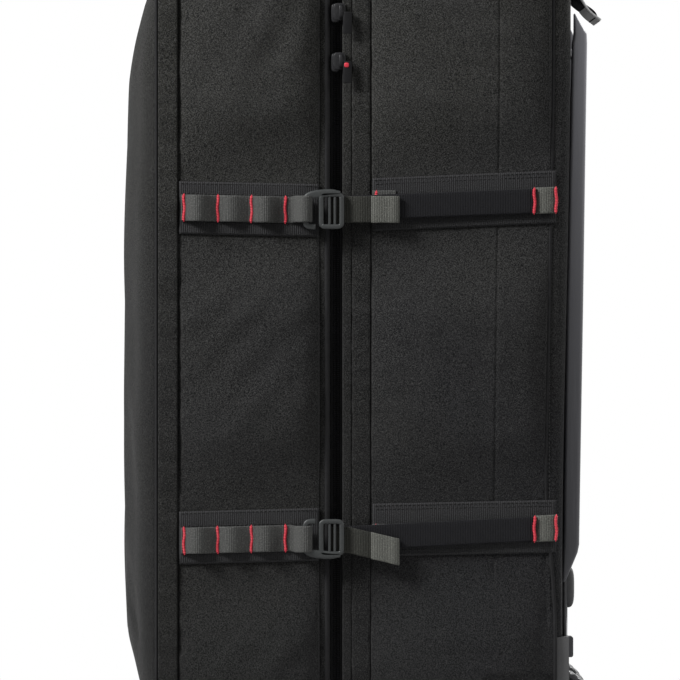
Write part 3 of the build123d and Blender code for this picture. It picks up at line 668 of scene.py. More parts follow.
# %% Back half skin
def cut_notch(thing, y_low, z_low, y_high, z_high):
    """Cuts an L-shaped notch out of the lower back corner of a skin."""
    work = bmesh.new()
    work.from_mesh(thing.data)
    bmesh.ops.remove_doubles(work, verts=work.verts, dist=0.00002)
    for place, normal in (
        ((0, y_low, 0), (0, 1, 0)),
        ((0, y_high, 0), (0, 1, 0)),
        ((0, 0, z_low), (0, 0, 1)),
        ((0, 0, z_high), (0, 0, 1)),
    ):
        near = [f for f in work.faces if f.calc_center_median().z < z_high + 0.06]
        geometry = near + list({e for f in near for e in f.edges}) + list({v for f in near for v in f.verts})
        bmesh.ops.bisect_plane(work, geom=geometry, plane_co=place, plane_no=normal, dist=0.00001)
    inside = []
    for face in work.faces:
        c = face.calc_center_median()
        if (c.y > y_low and c.z < z_low) or (c.y > y_high and c.z < z_high):
            inside.append(face)
    bmesh.ops.delete(work, geom=inside, context="FACES")
    bmesh.ops.recalc_face_normals(work, faces=work.faces)
    work.to_mesh(thing.data)
    work.free()


def add_wall(thing, thickness, offset=-1.0):
    wall = thing.modifiers.new("wall", "SOLIDIFY")
    wall.thickness = thickness
    wall.offset = offset
    return wall


def padded_wall(thing, thickness, lining):
    """A wall grown inwards, with the lining's material on its inner side and its rim."""
    thing.data.materials.append(lining)
    wall = add_wall(thing, thickness)
    wall.material_offset = 1
    wall.material_offset_rim = 1
    wall.use_even_offset = False


def edge_radius(z):
    """Rounding between side wall and big panel, tighter over the wheel housing."""
    return (5 + 8 * smooth_step(z, 0.10, 0.22)) * MM


back_ring = stations(SIDE_X, SHELL_LOW[2], SHELL_HIGH[2], CORNER)
back_grid = tray_grid(back_ring, BACK_RIM, 1, back_depth, back_lift, BACK_SEAMS, edge_radius, lambda z: 0 * z)
back_skin = surface("back_half_skin", back_grid, [SHELL], wrap_rows=True)
POD_LOW, POD_HIGH = node_box("wheel_housing")
NOTCH_Z = 60 * MM
NOTCH_STEP_Y = 143.5 * MM
cut_notch(back_skin, POD_LOW[1] - 1 * MM, NOTCH_Z, NOTCH_STEP_Y, POD_HIGH[2] + 0.6 * MM)
padded_wall(back_skin, 6 * MM, LINING)
finish_piece(back_skin, "back_half", "shell_fabric", "back_shell")
print("back skin", back_grid.shape)

# %% Front half skin
def front_crown(z):
    """The front panel swells above the pocket and stays flat behind it."""
    return 5 * MM / (1 + np.exp(-(z - 0.66) / 0.03))


front_ring = stations(SIDE_X, FRONT_LOW[2], FRONT_HIGH[2], CORNER)
front_grid = tray_grid(
    front_ring, FRONT_RIM, -1, front_depth, front_lift, FRONT_SEAMS, edge_radius, front_crown
)
front_skin = tidy_mesh(surface("front_half_skin", front_grid, [SHELL], wrap_rows=True))
padded_wall(front_skin, 6 * MM, LINING)
finish_piece(front_skin, "front_half", "shell_fabric", "front_shell")
print("front skin", front_grid.shape)

# %% [markdown]
# The pocket is a domed panel, full and tight. Its height over the bag follows two decays from
# each edge: a quick one that makes the rounded border, and a slow one that crowns the middle.

# %% Domed pocket
POCKET_LOW, POCKET_HIGH = node_box("pocket_panel")
POCKET_CORNER = 34 * MM


def rise_from_edge(distance, quick, slow, share):
    """0 at the edge, 1 far from it: 1 - share e^(-d/quick) - (1 - share) e^(-d/slow)."""
    d = np.maximum(distance, 0)
    return 1 - share * np.exp(-d / quick) - (1 - share) * np.exp(-d / slow)


def pocket_grid():
    """Height field over (x, z): depth times the rises from the sides, the top and the bottom."""
    low, high = POCKET_LOW[2], POCKET_HIGH[2]
    half = POCKET_HIGH[0] - 1 * MM
    ease = np.sin(np.linspace(-1, 1, 61) * np.pi / 2) * 0.5 + np.linspace(-1, 1, 61) * 0.5
    edge_steps = np.array([0, 0.6, 1.5, 3, 5, 8, 12, 17, 23, 30]) * MM
    between = np.arange(low + 0.034, high - 0.032, 4 * MM)
    z = np.unique(np.concatenate([low + edge_steps, between, high - edge_steps]))
    from_end = np.minimum(z - low, high - z)
    short = np.maximum(POCKET_CORNER - from_end, 0)
    width = half - (POCKET_CORNER - np.sqrt(np.maximum(POCKET_CORNER**2 - short**2, 0)))
    x = ease[None] * width[:, None]
    zz = np.broadcast_to(z[:, None], x.shape)
    depth = POCKET_HIGH[1] - POCKET_LOW[1]
    swell = (
        rise_from_edge(high - zz, 22 * MM, 120 * MM, 0.6)
        * rise_from_edge(zz - low, 14 * MM, 90 * MM, 0.7)
        * rise_from_edge(width[:, None] - np.abs(x), 13 * MM, 60 * MM, 0.72)
    )
    soft = 0.7 * MM * creases(x, zz, 41) * np.minimum(1, swell * 1.3)
    pucker = 0.35 * MM * np.sin(zz * 2 * np.pi / (16 * MM) + 3 * np.sin(zz * 37))
    near = np.exp(-(width[:, None] - np.abs(x)) / (9 * MM)) * np.minimum(1, swell * 4)
    y = POCKET_HIGH[1] - (depth * 0.97 * swell + soft + pucker * near)
    return np.stack([x, y, zz], -1)


def inflate(thing, pinned, freedom, pressure, cap):
    """Cloth under inner pressure with its border pinned.

    No point moves further than cap times its own freedom, which rises from 0 at the border.
    """
    group = thing.vertex_groups.new(name="pinned")
    group.add([int(i) for i in pinned], 1.0, "REPLACE")
    cloth = thing.modifiers.new("cloth", "CLOTH")
    cloth.settings.quality = 6
    cloth.settings.mass = 0.3
    cloth.settings.tension_stiffness = 12
    cloth.settings.compression_stiffness = 12
    cloth.settings.bending_stiffness = 0.4
    cloth.settings.use_pressure = True
    cloth.settings.uniform_pressure_force = pressure
    cloth.settings.vertex_group_mass = "pinned"
    cloth.settings.effector_weights.gravity = 0
    cloth.point_cache.frame_start = 1
    cloth.point_cache.frame_end = 20
    before = np.zeros(len(thing.data.vertices) * 3)
    thing.data.vertices.foreach_get("co", before)
    for frame_number in range(1, 21):
        bpy.context.scene.frame_set(frame_number)
    settled = thing.evaluated_get(bpy.context.evaluated_depsgraph_get()).data
    after = np.zeros_like(before)
    settled.vertices.foreach_get("co", after)
    moved = (after - before).reshape(-1, 3)
    length = np.linalg.norm(moved, axis=1, keepdims=True)
    moved = moved * np.minimum(1, cap / np.maximum(length, 1e-9)) * freedom[:, None]
    thing.modifiers.remove(cloth)
    thing.vertex_groups.remove(group)
    bpy.context.scene.frame_set(1)
    thing.data.vertices.foreach_set("co", before + moved.ravel())
    thing.data.update()
    print(thing.name, "cloth moved up to", round(float(length.max()) * 1000, 2), "mm, capped")


pocket_points = pocket_grid()
pocket = surface("pocket_skin", pocket_points, [POCKET])
pocket_rows, pocket_columns = pocket_points.shape[:2]
numbers = np.arange(pocket_rows * pocket_columns).reshape(pocket_rows, pocket_columns)
edges = (numbers[:2], numbers[-2:], numbers[:, :2], numbers[:, -2:])
border = np.concatenate([rows.ravel() for rows in edges])
across, up = np.abs(pocket_points[..., 0]), pocket_points[..., 2]
from_border = np.minimum(across.max(1, keepdims=True) - across, np.minimum(up - up.min(), up.max() - up))
inflate(pocket, np.unique(border), smooth_step(from_border, 0.006, 0.050).ravel(), 4.0, 4 * MM)
padded_wall(pocket, 3 * MM, LINING)
finish_piece(pocket, "pocket_flap", "pocket_fabric", "pocket_panel")
print("pocket", pocket_points.shape)

# %% [markdown]
# Piping and edge strips are a small profile carried right round an outline. Between the front
# panel and its side wall runs a loose zip flap, which is the same strip with a rumpled face.

# %% Piping and the loose flap
def ring_strip(name, ring, out, y_path, profile, material, wobble=0.0, seed=0):
    """A profile (out of the outline, along y) carried round the outline as a closed tube."""
    x, z, nx, nz = ring
    normal = np.stack([nx, 0 * nx, nz], -1)
    y = y_path(z)
    path = np.stack([x, y, z], -1) + normal * out(y, z)[:, None]
    if wobble:
        path = path + normal * (wobble * creases(x + y, z, seed, 8, (0.012, 0.05)))[:, None]
    grid = tube_grid(path, normal, spread(Y_AXIS, path), profile, closed=True)
    return surface(name, grid, [material], True, True)


def front_out(y, z):
    return front_lift(FRONT_RIM - y, z)


def back_out(y, z):
    return back_lift(y - BACK_RIM, z)


def piping(name, ring, out, y_path, thick, body):
    """A round cord under cloth, sewn along an outline."""
    profile = round_bar(thick, thick, 3, 2.0)
    piece = tidy_mesh(ring_strip(name, ring, out, y_path, profile, PIPING))
    finish_piece(piece, body, "band_fabric")


def binding(name, ring, out, y, width, thick, wobble, seed, body):
    """A flat cloth binding sewn round a rim."""
    profile = round_bar(thick, width, 5, 5.0)
    piece = ring_strip(name, ring, out, lambda z: np.full(len(z), y), profile, BORDER, wobble, seed)
    finish_piece(tidy_mesh(piece), body, "shell_fabric")


piping(
    "rim_piping", front_ring, lambda y, z: front_out(y, z) + 0.6 * MM,
    lambda z: np.full(len(z), FRONT_RIM - 2.6 * MM), 4.4 * MM, "front_half",
)
piping(
    "back_edge_piping", back_ring, lambda y, z: back_out(y, z) + 0.3 * MM,
    lambda z: BACK_RIM + back_depth(z) - edge_radius(z) - 0.5 * MM, 2.8 * MM, "back_half",
)
binding(
    "back_rim_binding", back_ring, lambda y, z: back_out(y, z) - 0.2 * MM,
    BACK_RIM + 3.6 * MM, 6.4 * MM, 1.8 * MM, 0.2 * MM, 71, "back_half",
)
binding(
    "zip_border", back_ring, lambda y, z: back_out(y, z) - 0.3 * MM,
    BACK_RIM + 14.3 * MM, 13.2 * MM, 1.6 * MM, 0.35 * MM, 72, "back_half",
)
# Painted shade: a dark cloth strip along the front rim roll, where the panel's edge turns away from the lamp
# into shade.
binding(
    "front_rim_binding", front_ring, lambda y, z: front_out(y, z) - 0.5 * MM,
    FRONT_RIM - 5.6 * MM, 4.6 * MM, 1.6 * MM, 0.2 * MM, 73, "front_half",
)

flap_profile = round_bar(2.4 * MM, 14.5 * MM, 5, 5.0)
flap = ring_strip(
    "front_zip_flap", front_ring, lambda y, z: 0 * z + 1.2 * MM,
    lambda z: FRONT_RIM - front_depth(z) + 8.0 * MM, flap_profile, FLAP_CLOTH, 0.75 * MM, 61,
)
finish_piece(tidy_mesh(flap), "front_half", "shell_fabric")
piping(
    "front_edge_piping", front_ring, lambda y, z: 0 * z - 0.8 * MM,
    lambda z: FRONT_RIM - front_depth(z) - 0.4 * MM, 2.8 * MM, "front_half",
)

# %% [markdown]
# The strap side carries four sets of webbing. Each set has a wide band sewn to each half, a
# looped webbing tacked to the front band with red bar tacks, a hook, the strap itself and its
# loose tail. `Style` holds how far each set sits off level, because sewing is never exact.

# %% Bands, tacks and stitches
STRAP_X = float(node_box("strap_2")[0][0])
HINGE_Y = float(node_box("strap_2")[1][1]) - 1 * MM
BAND_WIDTH = 40 * MM
WEB = 20 * MM


class Style:
    """Slopes (rise per metre of y) and offsets of one set of straps."""

    def __init__(self, number):
        low_set = number == 1
        self.number = number
        self.z = STRAP_Z[number]
        self.front_slope = 0.026 if low_set else -0.021
        self.front_rise = 2.2 * MM if low_set else 0.0
        self.back_slope = 0.020 if low_set else 0.043
        self.back_rise = 8.2 * MM if low_set else 6.2 * MM
        self.strap_slope = 0.070 if low_set else 0.055
        self.tail_slope = -0.24 if low_set else 0.0
        self.flip = low_set


STYLES = [Style(i) for i in STRAPS]


def on_panel(y, z, above):
    """Points on the strap side, a little above its skin."""
    return np.stack([strap_side_x(y, z) + above, y, z + 0 * y], -1)


def panel_strip(name, y0, y1, z_of_y, width, thick, above, material, count=60):
    y = np.linspace(y0, y1, count)
    z = z_of_y(y)
    smooth_x = np.convolve(np.pad(strap_side_x(y, z), 4, "edge"), np.ones(9) / 9, "valid")
    path = np.stack([smooth_x + above, y, z], -1)
    return strip(name, path, Z_AXIS, width, thick, material)


def stitch_rows(name, rows, pitch=3.1 * MM, length=2.0 * MM, radius=0.27 * MM, material=None):
    """Stitches as small capsules: each row is a path, cut into a stitch every pitch."""
    ring_count = 5
    turn = np.arange(ring_count) * 2 * np.pi / ring_count
    ends = np.array([-0.5, -0.3, 0.3, 0.5])
    girth = np.array([0.35, 1.0, 1.0, 0.35])
    verts, faces, first = [], [], 0
    for path in rows:
        at = np.arange(pitch / 2, lengths(path)[-1], pitch)
        centre = at_lengths(path, at)
        along = unit(at_lengths(path, at + 0.5 * MM) - at_lengths(path, at - 0.5 * MM))
        side = unit(np.cross(along, [1.0, 0.013, 0.017]))
        third = np.cross(along, side)
        around = (
            np.cos(turn)[None, None, :, None] * side[:, None, None]
            + np.sin(turn)[None, None, :, None] * third[:, None, None]
        )
        points = (
            centre[:, None, None]
            + along[:, None, None] * (ends * length)[None, :, None, None]
            + around * (girth * radius)[None, :, None, None]
        )
        quads = grid_faces(4, ring_count, False, True)
        for _ in range(len(at)):
            faces.append(quads + first)
            first += 4 * ring_count
        verts.append(points.reshape(-1, 3))
    return mesh_object(name, np.concatenate(verts), np.concatenate(faces), [material or GREY_THREAD])


def bar_tack(name, base, height, seed):
    """A dense red zigzag: a low ridge whose girth ripples once per thread, wandering slightly."""
    draw = np.random.default_rng(seed)
    steps = np.linspace(-0.5, 0.5, 90)
    ripple = 1 + 0.30 * np.sin(steps * height / (1.15 * MM) * 2 * np.pi)
    fade = np.clip((0.5 - np.abs(steps)) * 14, 0.25, 1)
    wander = 0.35 * MM * np.sin(steps * 9 + draw.uniform(0, 6))
    turn = np.arange(8) * 2 * np.pi / 8
    a = np.cos(turn)[None] * (1.05 * MM * ripple * fade)[:, None]
    b = np.sin(turn)[None] * (0.65 * MM * ripple * fade)[:, None]
    path = np.asarray(base) + np.stack([0 * steps, wander, steps * height], -1)
    grid = tube_grid(path, spread(Y_AXIS, path), spread(X_AXIS, path), np.stack([a, b], -1))
    return surface(name, grid, [RED_THREAD], False, True)


TACK_PITCH = 25.3 * MM
LAST_TACK_Y = -58.8 * MM
FRONT_BAND_END = -33.5 * MM
BACK_BAND_START = 6.5 * MM
BACK_BAND_END = 144.5 * MM
BAND_ABOVE = 1.0 * MM
DAISY_ABOVE = 2.6 * MM
STITCH_ABOVE = BAND_ABOVE + 0.75 * MM
FRONT_MIDDLE_Y = -0.086

front_bands, back_bands, front_rows, back_rows = [], [], [], []
for style in STYLES:
    front_start = FRONT_RIM - float(front_depth(np.array([style.z]))[0]) + 16.5 * MM

    def front_z(y, style=style):
        return style.z + style.front_rise + style.front_slope * (y - FRONT_MIDDLE_Y)

    def back_z(y, style=style):
        return style.z + style.back_rise + style.back_slope * (y - 0.075)

    front_bands.append(
        panel_strip(
            "band", front_start, FRONT_BAND_END, front_z, BAND_WIDTH, 1.3 * MM, BAND_ABOVE, BAND_RIBBED
        )
    )
    back_bands.append(
        panel_strip(
            "band", BACK_BAND_START, BACK_BAND_END, back_z, BAND_WIDTH, 1.3 * MM, BAND_ABOVE, BAND_RIBBED
        )
    )
    for edge in (-1, 1):
        reach = edge * (BAND_WIDTH / 2 - 1.6 * MM)
        y = np.linspace(front_start + 1 * MM, FRONT_BAND_END - 1 * MM, 50)
        front_rows.append(on_panel(y, front_z(y) + reach, STITCH_ABOVE))
        y = np.linspace(BACK_BAND_START + 1 * MM, BACK_BAND_END - 1 * MM, 60)
        back_rows.append(on_panel(y, back_z(y) + reach, STITCH_ABOVE))
    style.front_start = front_start
    style.front_z = front_z
    style.back_z = back_z

finish_piece(joined("front_bands", front_bands), "front_half", "band_fabric", "bands_front")
finish_piece(joined("back_bands", back_bands), "back_half", "band_fabric", "bands_back")
print("bands", len(front_bands) + len(back_bands))

# %% Looped webbing with its tacks
loops, front_tacks = [], []
for style in STYLES:
    count = int((LAST_TACK_Y - style.front_start - 2 * MM) / TACK_PITCH) + 1
    tacks = LAST_TACK_Y - TACK_PITCH * np.arange(count)[::-1]
    y = np.linspace(tacks[0] - 2.5 * MM, LAST_TACK_Y + 7 * MM, 150)
    phase = np.clip((y - tacks[0]) / TACK_PITCH, 0, count - 1)
    within = phase - np.floor(phase)
    wave = np.sin(np.pi * within) ** 1.6 * (1 + 0.45 * np.cos(np.pi * within))
    hump = 6.4 * MM * wave * (0.88 + 0.2 * np.sin(np.floor(phase) * 2.4 + style.number))
    z = style.z + style.front_slope * (y - FRONT_MIDDLE_Y) + 0 * y
    x = strap_side_x(y, z) * 0 + SIDE_X + DAISY_ABOVE + hump
    path = np.stack([x, y, z], -1)
    hook_arm = -43.6 * MM
    wrap = np.array([
        [SIDE_X + 5.0 * MM, hook_arm - 7.6 * MM, style.z],
        [SIDE_X + 11.0 * MM, hook_arm - 4.8 * MM, style.z],
        [SIDE_X + 14.4 * MM, hook_arm - 1.4 * MM, style.z],
        [SIDE_X + 14.0 * MM, hook_arm + 2.6 * MM, style.z],
        [SIDE_X + 9.6 * MM, hook_arm + 4.6 * MM, style.z],
        [SIDE_X + 5.6 * MM, hook_arm + 2.2 * MM, style.z],
        [SIDE_X + 3.6 * MM, hook_arm - 6 * MM, style.z],
    ])
    whole = smooth_path(np.concatenate([path[::6], wrap]), 230)
    loops.append(strip("loop", whole, Z_AXIS, WEB, 1.2 * MM, LOOP_GREY))
    for number, place in enumerate(tacks):
        z_here = style.z + style.front_slope * (place - FRONT_MIDDLE_Y)
        base = (SIDE_X + DAISY_ABOVE + 0.7 * MM, place, z_here)
        front_tacks.append(bar_tack("tack", base, WEB + 1.5 * MM, 10 * style.number + number))
    for edge in (-1, 1):
        reach = edge * (WEB / 2 + 0.9 * MM)
        y_row = np.linspace(style.front_start + 2 * MM, FRONT_BAND_END - 4 * MM, 40)
        front_rows.append(on_panel(y_row, style.front_z(y_row) - style.front_rise + reach, STITCH_ABOVE))
finish_piece(joined("looped_webbing", loops), "front_half", "webbing_grey", "daisy_webbing")
finish_piece(joined("front_bar_tacks", front_tacks), "front_half", "webbing_grey")
finish_piece(stitch_rows("front_band_stitches", front_rows), "front_half", "webbing_grey")

# %% [markdown]
# On the back half each set has a tack and a lighter loop behind the strap's sewn end, and a
# short keeper web that shows over the loose tail. The strap, the hook and the tail are one
# moving set: they unhook from the looped webbing and swing about the tack.

# %% Anchors, keepers, straps and tails
ANCHOR_ABOVE = 2.4 * MM
anchors, back_tacks, straps_made = [], [], 0


def wavy_strip(name, stops, z_of_y, width, thick, material, count=90):
    """Webbing through (y, x) stops: x follows a smooth line and z follows the sewn slope."""
    line = smooth_path([(y, x) for y, x in stops], count)
    y, x = line[:, 0], line[:, 1]
    return strip(name, np.stack([x, y, z_of_y(y)], -1), Z_AXIS, width, thick, material)


for style in STYLES:
    def strap_z(y, style=style):
        return style.z + 0.5 * MM + style.strap_slope * (y + 0.0145) * 0.72

    def tail_z(y, style=style):
        return style.z + style.tail_slope * np.clip(y + 0.012, 0, None) - 0.0004

    style.strap_z = strap_z
    tack_y = HINGE_Y
    out = SIDE_X + ANCHOR_ABOVE
    anchors.append(
        wavy_strip(
            "anchor",
            [(tack_y + 0.6 * MM, out), (tack_y + 4 * MM, out + 1.6 * MM), (tack_y + 8 * MM, out + 2.1 * MM),
             (tack_y + 12.5 * MM, out + 1.3 * MM), (tack_y + 16 * MM, out)],
            strap_z, WEB, 1.3 * MM, STRAP_GREY, 40,
        )
    )
    keeper_low = 3.6 * MM if not style.flip else 1.0 * MM

    def keeper_z(y, style=style, keeper_low=keeper_low):
        return style.z + keeper_low + 0 * y

    anchors.append(
        wavy_strip(
            "keeper",
            [(6.5 * MM, SIDE_X + 2.3 * MM), (12 * MM, SIDE_X + 3.0 * MM), (24 * MM, SIDE_X + 2.2 * MM)],
            keeper_z, WEB + 1 * MM, 1.2 * MM, LOOP_GREY, 30,
        )
    )
    for number, place in enumerate((tack_y, tack_y + 16.3 * MM)):
        base = (out + 1.9 * MM + (1.6 * MM if number == 0 else 0), place, float(strap_z(place)))
        back_tacks.append(bar_tack("tack", base, WEB + 0.5 * MM, 70 + 10 * style.number + number))
    base = (SIDE_X + 3.2 * MM, 9.2 * MM, float(keeper_z(9.2 * MM)))
    back_tacks.append(bar_tack("tack", base, WEB + 1 * MM, 90 + style.number))

    web_x = STRAP_X - 0.6 * MM
    main = wavy_strip(
        "strap",
        [(HINGE_Y + 1.2 * MM, SIDE_X + 4.0 * MM), (HINGE_Y - 6 * MM, SIDE_X + 4.8 * MM),
         (0.100, web_x - 1.2 * MM), (0.060, web_x - 0.4 * MM), (0.010, web_x), (-0.012, web_x),
         (-0.0235, web_x - 0.2 * MM)],
        strap_z, WEB - 1.4 * MM, 1.5 * MM, STRAP_BLACK, 130,
    )
    tail_x = web_x + 1.7 * MM
    tail = wavy_strip(
        "tail",
        [(-0.0260, tail_x - 0.1 * MM), (-0.0200, tail_x), (-0.0120, tail_x), (-0.008, tail_x + 0.4 * MM),
         (-0.002, tail_x + 1.4 * MM), (0.006, tail_x + 0.9 * MM), (0.0225, tail_x + 1.0 * MM)],
        tail_z, WEB, 1.1 * MM, TAIL_DARK, 80,
    )
    doubled = wavy_strip(
        "doubled",
        [(0.0056, tail_x + 2.0 * MM), (0.010, tail_x + 2.9 * MM), (0.018, tail_x + 2.6 * MM),
         (0.0228, tail_x + 3.0 * MM), (0.0262, tail_x + 1.6 * MM), (0.0240, tail_x - 0.1 * MM)],
        tail_z, WEB + 0.4 * MM, 1.2 * MM, STRAP_GREY, 60,
    )
    piece = joined(f"strap_{style.number}_webbing", [main, tail, doubled])
    finish_piece(
        piece, f"strap_set_{style.number}", "webbing",
        f"strap_{style.number}", f"strap_tail_{style.number}",
    )
    straps_made += 1
finish_piece(joined("anchor_webbing", anchors), "back_half", "webbing_grey", "strap_anchors")
finish_piece(joined("back_bar_tacks", back_tacks), "back_half", "webbing_grey")
print("straps", straps_made)

# %% [markdown]
# The hook is stamped flat metal: a rectangular frame with two inner bars for the webbing, and a
# thick arm that reaches forward and curls down to a tip. Each bar is a rounded section carried
# along a path in the plane of the hook. The lowest hook is sewn on upside down.

# %% Hooks
def flat_bar(name, points, widths, thick, level, material, closed=False, count=60):
    """A bar in a y-z plane: smooth path, width changing along it, rounded section."""
    if closed:
        points = list(points) + [points[0]]
    line = smooth_path(points, count)
    if closed:
        line = line[:-1]
        ahead, behind = np.roll(line, -1, 0), np.roll(line, 1, 0)
        along = unit(ahead - behind)
    else:
        along = unit(np.gradient(line, axis=0))
    path = np.stack([0 * line[:, 0] + level, line[:, 0], line[:, 1]], -1)
    across = np.stack([0 * along[:, 0], -along[:, 1], along[:, 0]], -1)
    width = np.interp(np.linspace(0, 1, len(path)), np.linspace(0, 1, len(widths)), widths)[:, None]
    unit_bar = round_bar(1.0, 1.0, 3, 3.2)[None]
    profile = np.stack([unit_bar[..., 0] * width, 0 * width + unit_bar[..., 1] * thick], -1)
    grid = tube_grid(path, across, spread(X_AXIS, path), profile, closed)
    return surface(name, grid, [material], closed, True)


def rounded_corners(corners, radius, steps=4):
    """Points of a closed outline whose corners are replaced by short arcs."""
    corners = np.asarray(corners, float)
    before, after = np.roll(corners, 1, 0), np.roll(corners, -1, 0)
    start = corners + unit(before - corners) * radius
    end = corners + unit(after - corners) * radius
    t = np.linspace(0, 1, steps)[None, :, None]
    arc = (1 - t) ** 2 * start[:, None] + 2 * t * (1 - t) * corners[:, None] + t**2 * end[:, None]
    return arc.reshape(-1, 2)


for style in STYLES:
    level = STRAP_X + 4.2 * MM
    sign = -1 if style.flip else 1

    def spot(y, z, sign=sign, style=style):
        return (y * MM, style.z + sign * z * MM)

    frame_line = rounded_corners(
        [spot(-31.9, 10.8), spot(-16.5, 10.8), spot(-16.5, -13.3), spot(-31.9, -13.3)], 3.2 * MM
    )
    bars = [
        flat_bar("frame", frame_line, [3.7 * MM, 3.7 * MM], 3.2 * MM, level, HOOK_METAL, True, 90),
        flat_bar("bar", [spot(-25.6, 10.8), spot(-25.6, -1), spot(-25.6, -13.3)], [2.0 * MM] * 2, 2.4 * MM,
                 level - 0.2 * MM, HOOK_METAL, False, 12),
        flat_bar("bar", [spot(-21.6, 10.8), spot(-21.6, -1), spot(-21.6, -13.3)], [2.1 * MM] * 2, 2.4 * MM,
                 level - 0.2 * MM, HOOK_METAL, False, 12),
        flat_bar(
            "arm",
            [spot(-17.5, 11.8), spot(-24, 12.0), spot(-32, 11.4), spot(-39, 10.4), spot(-42.6, 8.4),
             spot(-43.6, 4.6), spot(-43.6, -3), spot(-43.6, -9.6), spot(-42.4, -12.4), spot(-39.5, -13.3),
             spot(-36.2, -13.4)],
            np.array([3.2, 5.6, 6.4, 6.4, 5.6, 4.8, 4.6, 4.4, 4.3, 4.2]) * MM,
            3.2 * MM, level, HOOK_METAL, False, 90,
        ),
    ]
    finish_piece(
        joined(f"hook_{style.number}_metal", bars), f"strap_set_{style.number}", "hook_metal",
        f"hook_{style.number}",
    )
print("hooks", len(STYLES))

# %% [markdown]
# Stitches follow the seams: along the bands' edges, beside the zip, beside the back edge, and
# across the straps' sewn ends. They are counted by length, so the pitch is true everywhere.

# %% Stitch lines on the two halves
def seam_line(y, low, high, above=0.35 * MM, count=500):
    z = np.linspace(low, high, count)
    return on_panel(np.full(count, y), z, above)


low_z, high_z = SHELL_LOW[2] + CORNER, SHELL_HIGH[2] - CORNER
for y_line in (BACK_RIM + 9.6 * MM, BACK_RIM + 18.6 * MM):
    back_rows.append(seam_line(y_line, low_z, high_z))
back_rows.append(seam_line(BACK_RIM + 155.2 * MM, POD_HIGH[2] + 0.02, high_z))
for style in STYLES:
    y = np.linspace(BACK_BAND_START + 2 * MM, BACK_BAND_END - 2 * MM, 50)
    for edge in (-1, 1):
        back_rows.append(on_panel(y, style.back_z(y) + edge * (BAND_WIDTH / 2 - 4.4 * MM), STITCH_ABOVE))
finish_piece(stitch_rows("back_half_stitches", back_rows), "back_half", "band_fabric")
rim_rows = [seam_line(FRONT_RIM - 9.2 * MM, low_z, high_z)]
finish_piece(stitch_rows("front_rim_stitches", rim_rows), "front_half", "band_fabric")

# %% [markdown]
# Between the halves the zip runs round three sides. Its two tapes lie a little deeper than the
# cloth, and each carries a row of small moulded teeth, one capsule per tooth.

# %% Zip tapes and teeth
def three_sides(ring):
    """The part of an outline that the zip follows, from the far lower corner to the far upper."""
    x, z, nx, nz = ring
    middle = (z.min() + z.max()) / 2
    order = np.argsort(np.arctan2(z - middle, x + 0.05))
    order = order[x[order] > x.min() + 0.3 * MM]
    return [column[order] for column in ring]


def zip_run(ring, y, inset, count):
    x, z, nx, nz = three_sides(ring)
    path = np.stack([x - nx * inset, np.full(len(x), y), z - nz * inset], -1)
    return at_lengths(path, np.linspace(0, lengths(path)[-1], count))


def zip_tape(name, y, body, node):
    run = zip_run(back_ring, y, 10.6 * MM, 500)
    tape = strip(name, run, Y_AXIS, 4.1 * MM, 1.2 * MM, ZIP_BLACK_AND_SHADE)
    finish_piece(tape, body, "zip_plastic", node)


def zip_teeth(name, y, body):
    """One small capsule per tooth, lying across the tape."""
    run = zip_run(back_ring, y, 9.7 * MM, 1500)
    turn = np.arange(6) * 2 * np.pi / 6
    girth = np.array([0.3, 1.0, 1.0, 0.3])
    ends = np.array([-0.5, -0.3, 0.3, 0.5]) * 3.0 * MM
    along = unit(np.gradient(run, axis=0))
    third = unit(np.cross(along, Y_AXIS))
    around = np.cos(turn)[None, None, :, None] * along[:, None, None] * 0.7 * MM
    around = around + np.sin(turn)[None, None, :, None] * third[:, None, None] * 0.8 * MM
    points = (
        run[:, None, None] + around * girth[None, :, None, None]
        + Y_AXIS * ends[None, :, None, None]
    )
    base = grid_faces(4, 6, False, True)
    faces = (base[None] + (np.arange(len(run)) * 24)[:, None, None]).reshape(-1, 4)
    teeth = mesh_object(name, points.reshape(-1, 3), faces, [ZIP_BLACK_AND_SHADE])
    finish_piece(teeth, body, "zip_plastic")


zip_tape("back_zip_tape", BACK_RIM - 2.1 * MM, "back_half", "zip_tape_back")
zip_tape("front_zip_tape", FRONT_RIM + 2.1 * MM, "front_half", "zip_tape_front")
zip_teeth("back_zip_teeth", BACK_RIM - 3.2 * MM, "back_half")
zip_teeth("front_zip_teeth", FRONT_RIM + 3.2 * MM, "front_half")
print("zip done")


# %% [markdown]
# The slider is a cast body with a bridge, and its pull is a flat tab with rounded ends. Both
# come from one soft-cornered block, whose radius is |x|^p + |y|^p + |z|^p = 1.

# %% Sliders and pulls
def soft_block(name, centre, size, material, power=4.0, rows=14, columns=20):
    """Superellipsoid: latitude and longitude with signed powers, scaled to half of size."""
    u = np.linspace(-np.pi / 2, np.pi / 2, rows)[:, None]
    v = (np.arange(columns) * 2 * np.pi / columns)[None]

    def signed(value):
        return np.sign(value) * np.abs(value) ** (2 / power)

    x = signed(np.cos(u)) * signed(np.cos(v))
    y = signed(np.cos(u)) * signed(np.sin(v))
    z = signed(np.sin(u)) + 0 * v
    grid = np.stack([x, y, z], -1) * np.asarray(size) / 2 + np.asarray(centre)
    return surface(name, grid, [material], False, True)


def loop_bar(name, points, width, thick, material, across=Y_AXIS, count=24):
    """A thin rounded bar along a smooth path in space."""
    path = smooth_path(points, count)
    along = unit(np.gradient(path, axis=0))
    across = unit(np.broadcast_to(np.asarray(across, float), path.shape))
    grid = tube_grid(path, across, unit(np.cross(along, across)), round_bar(width, thick, 3, 2.6))
    return surface(name, grid, [material], False, True)


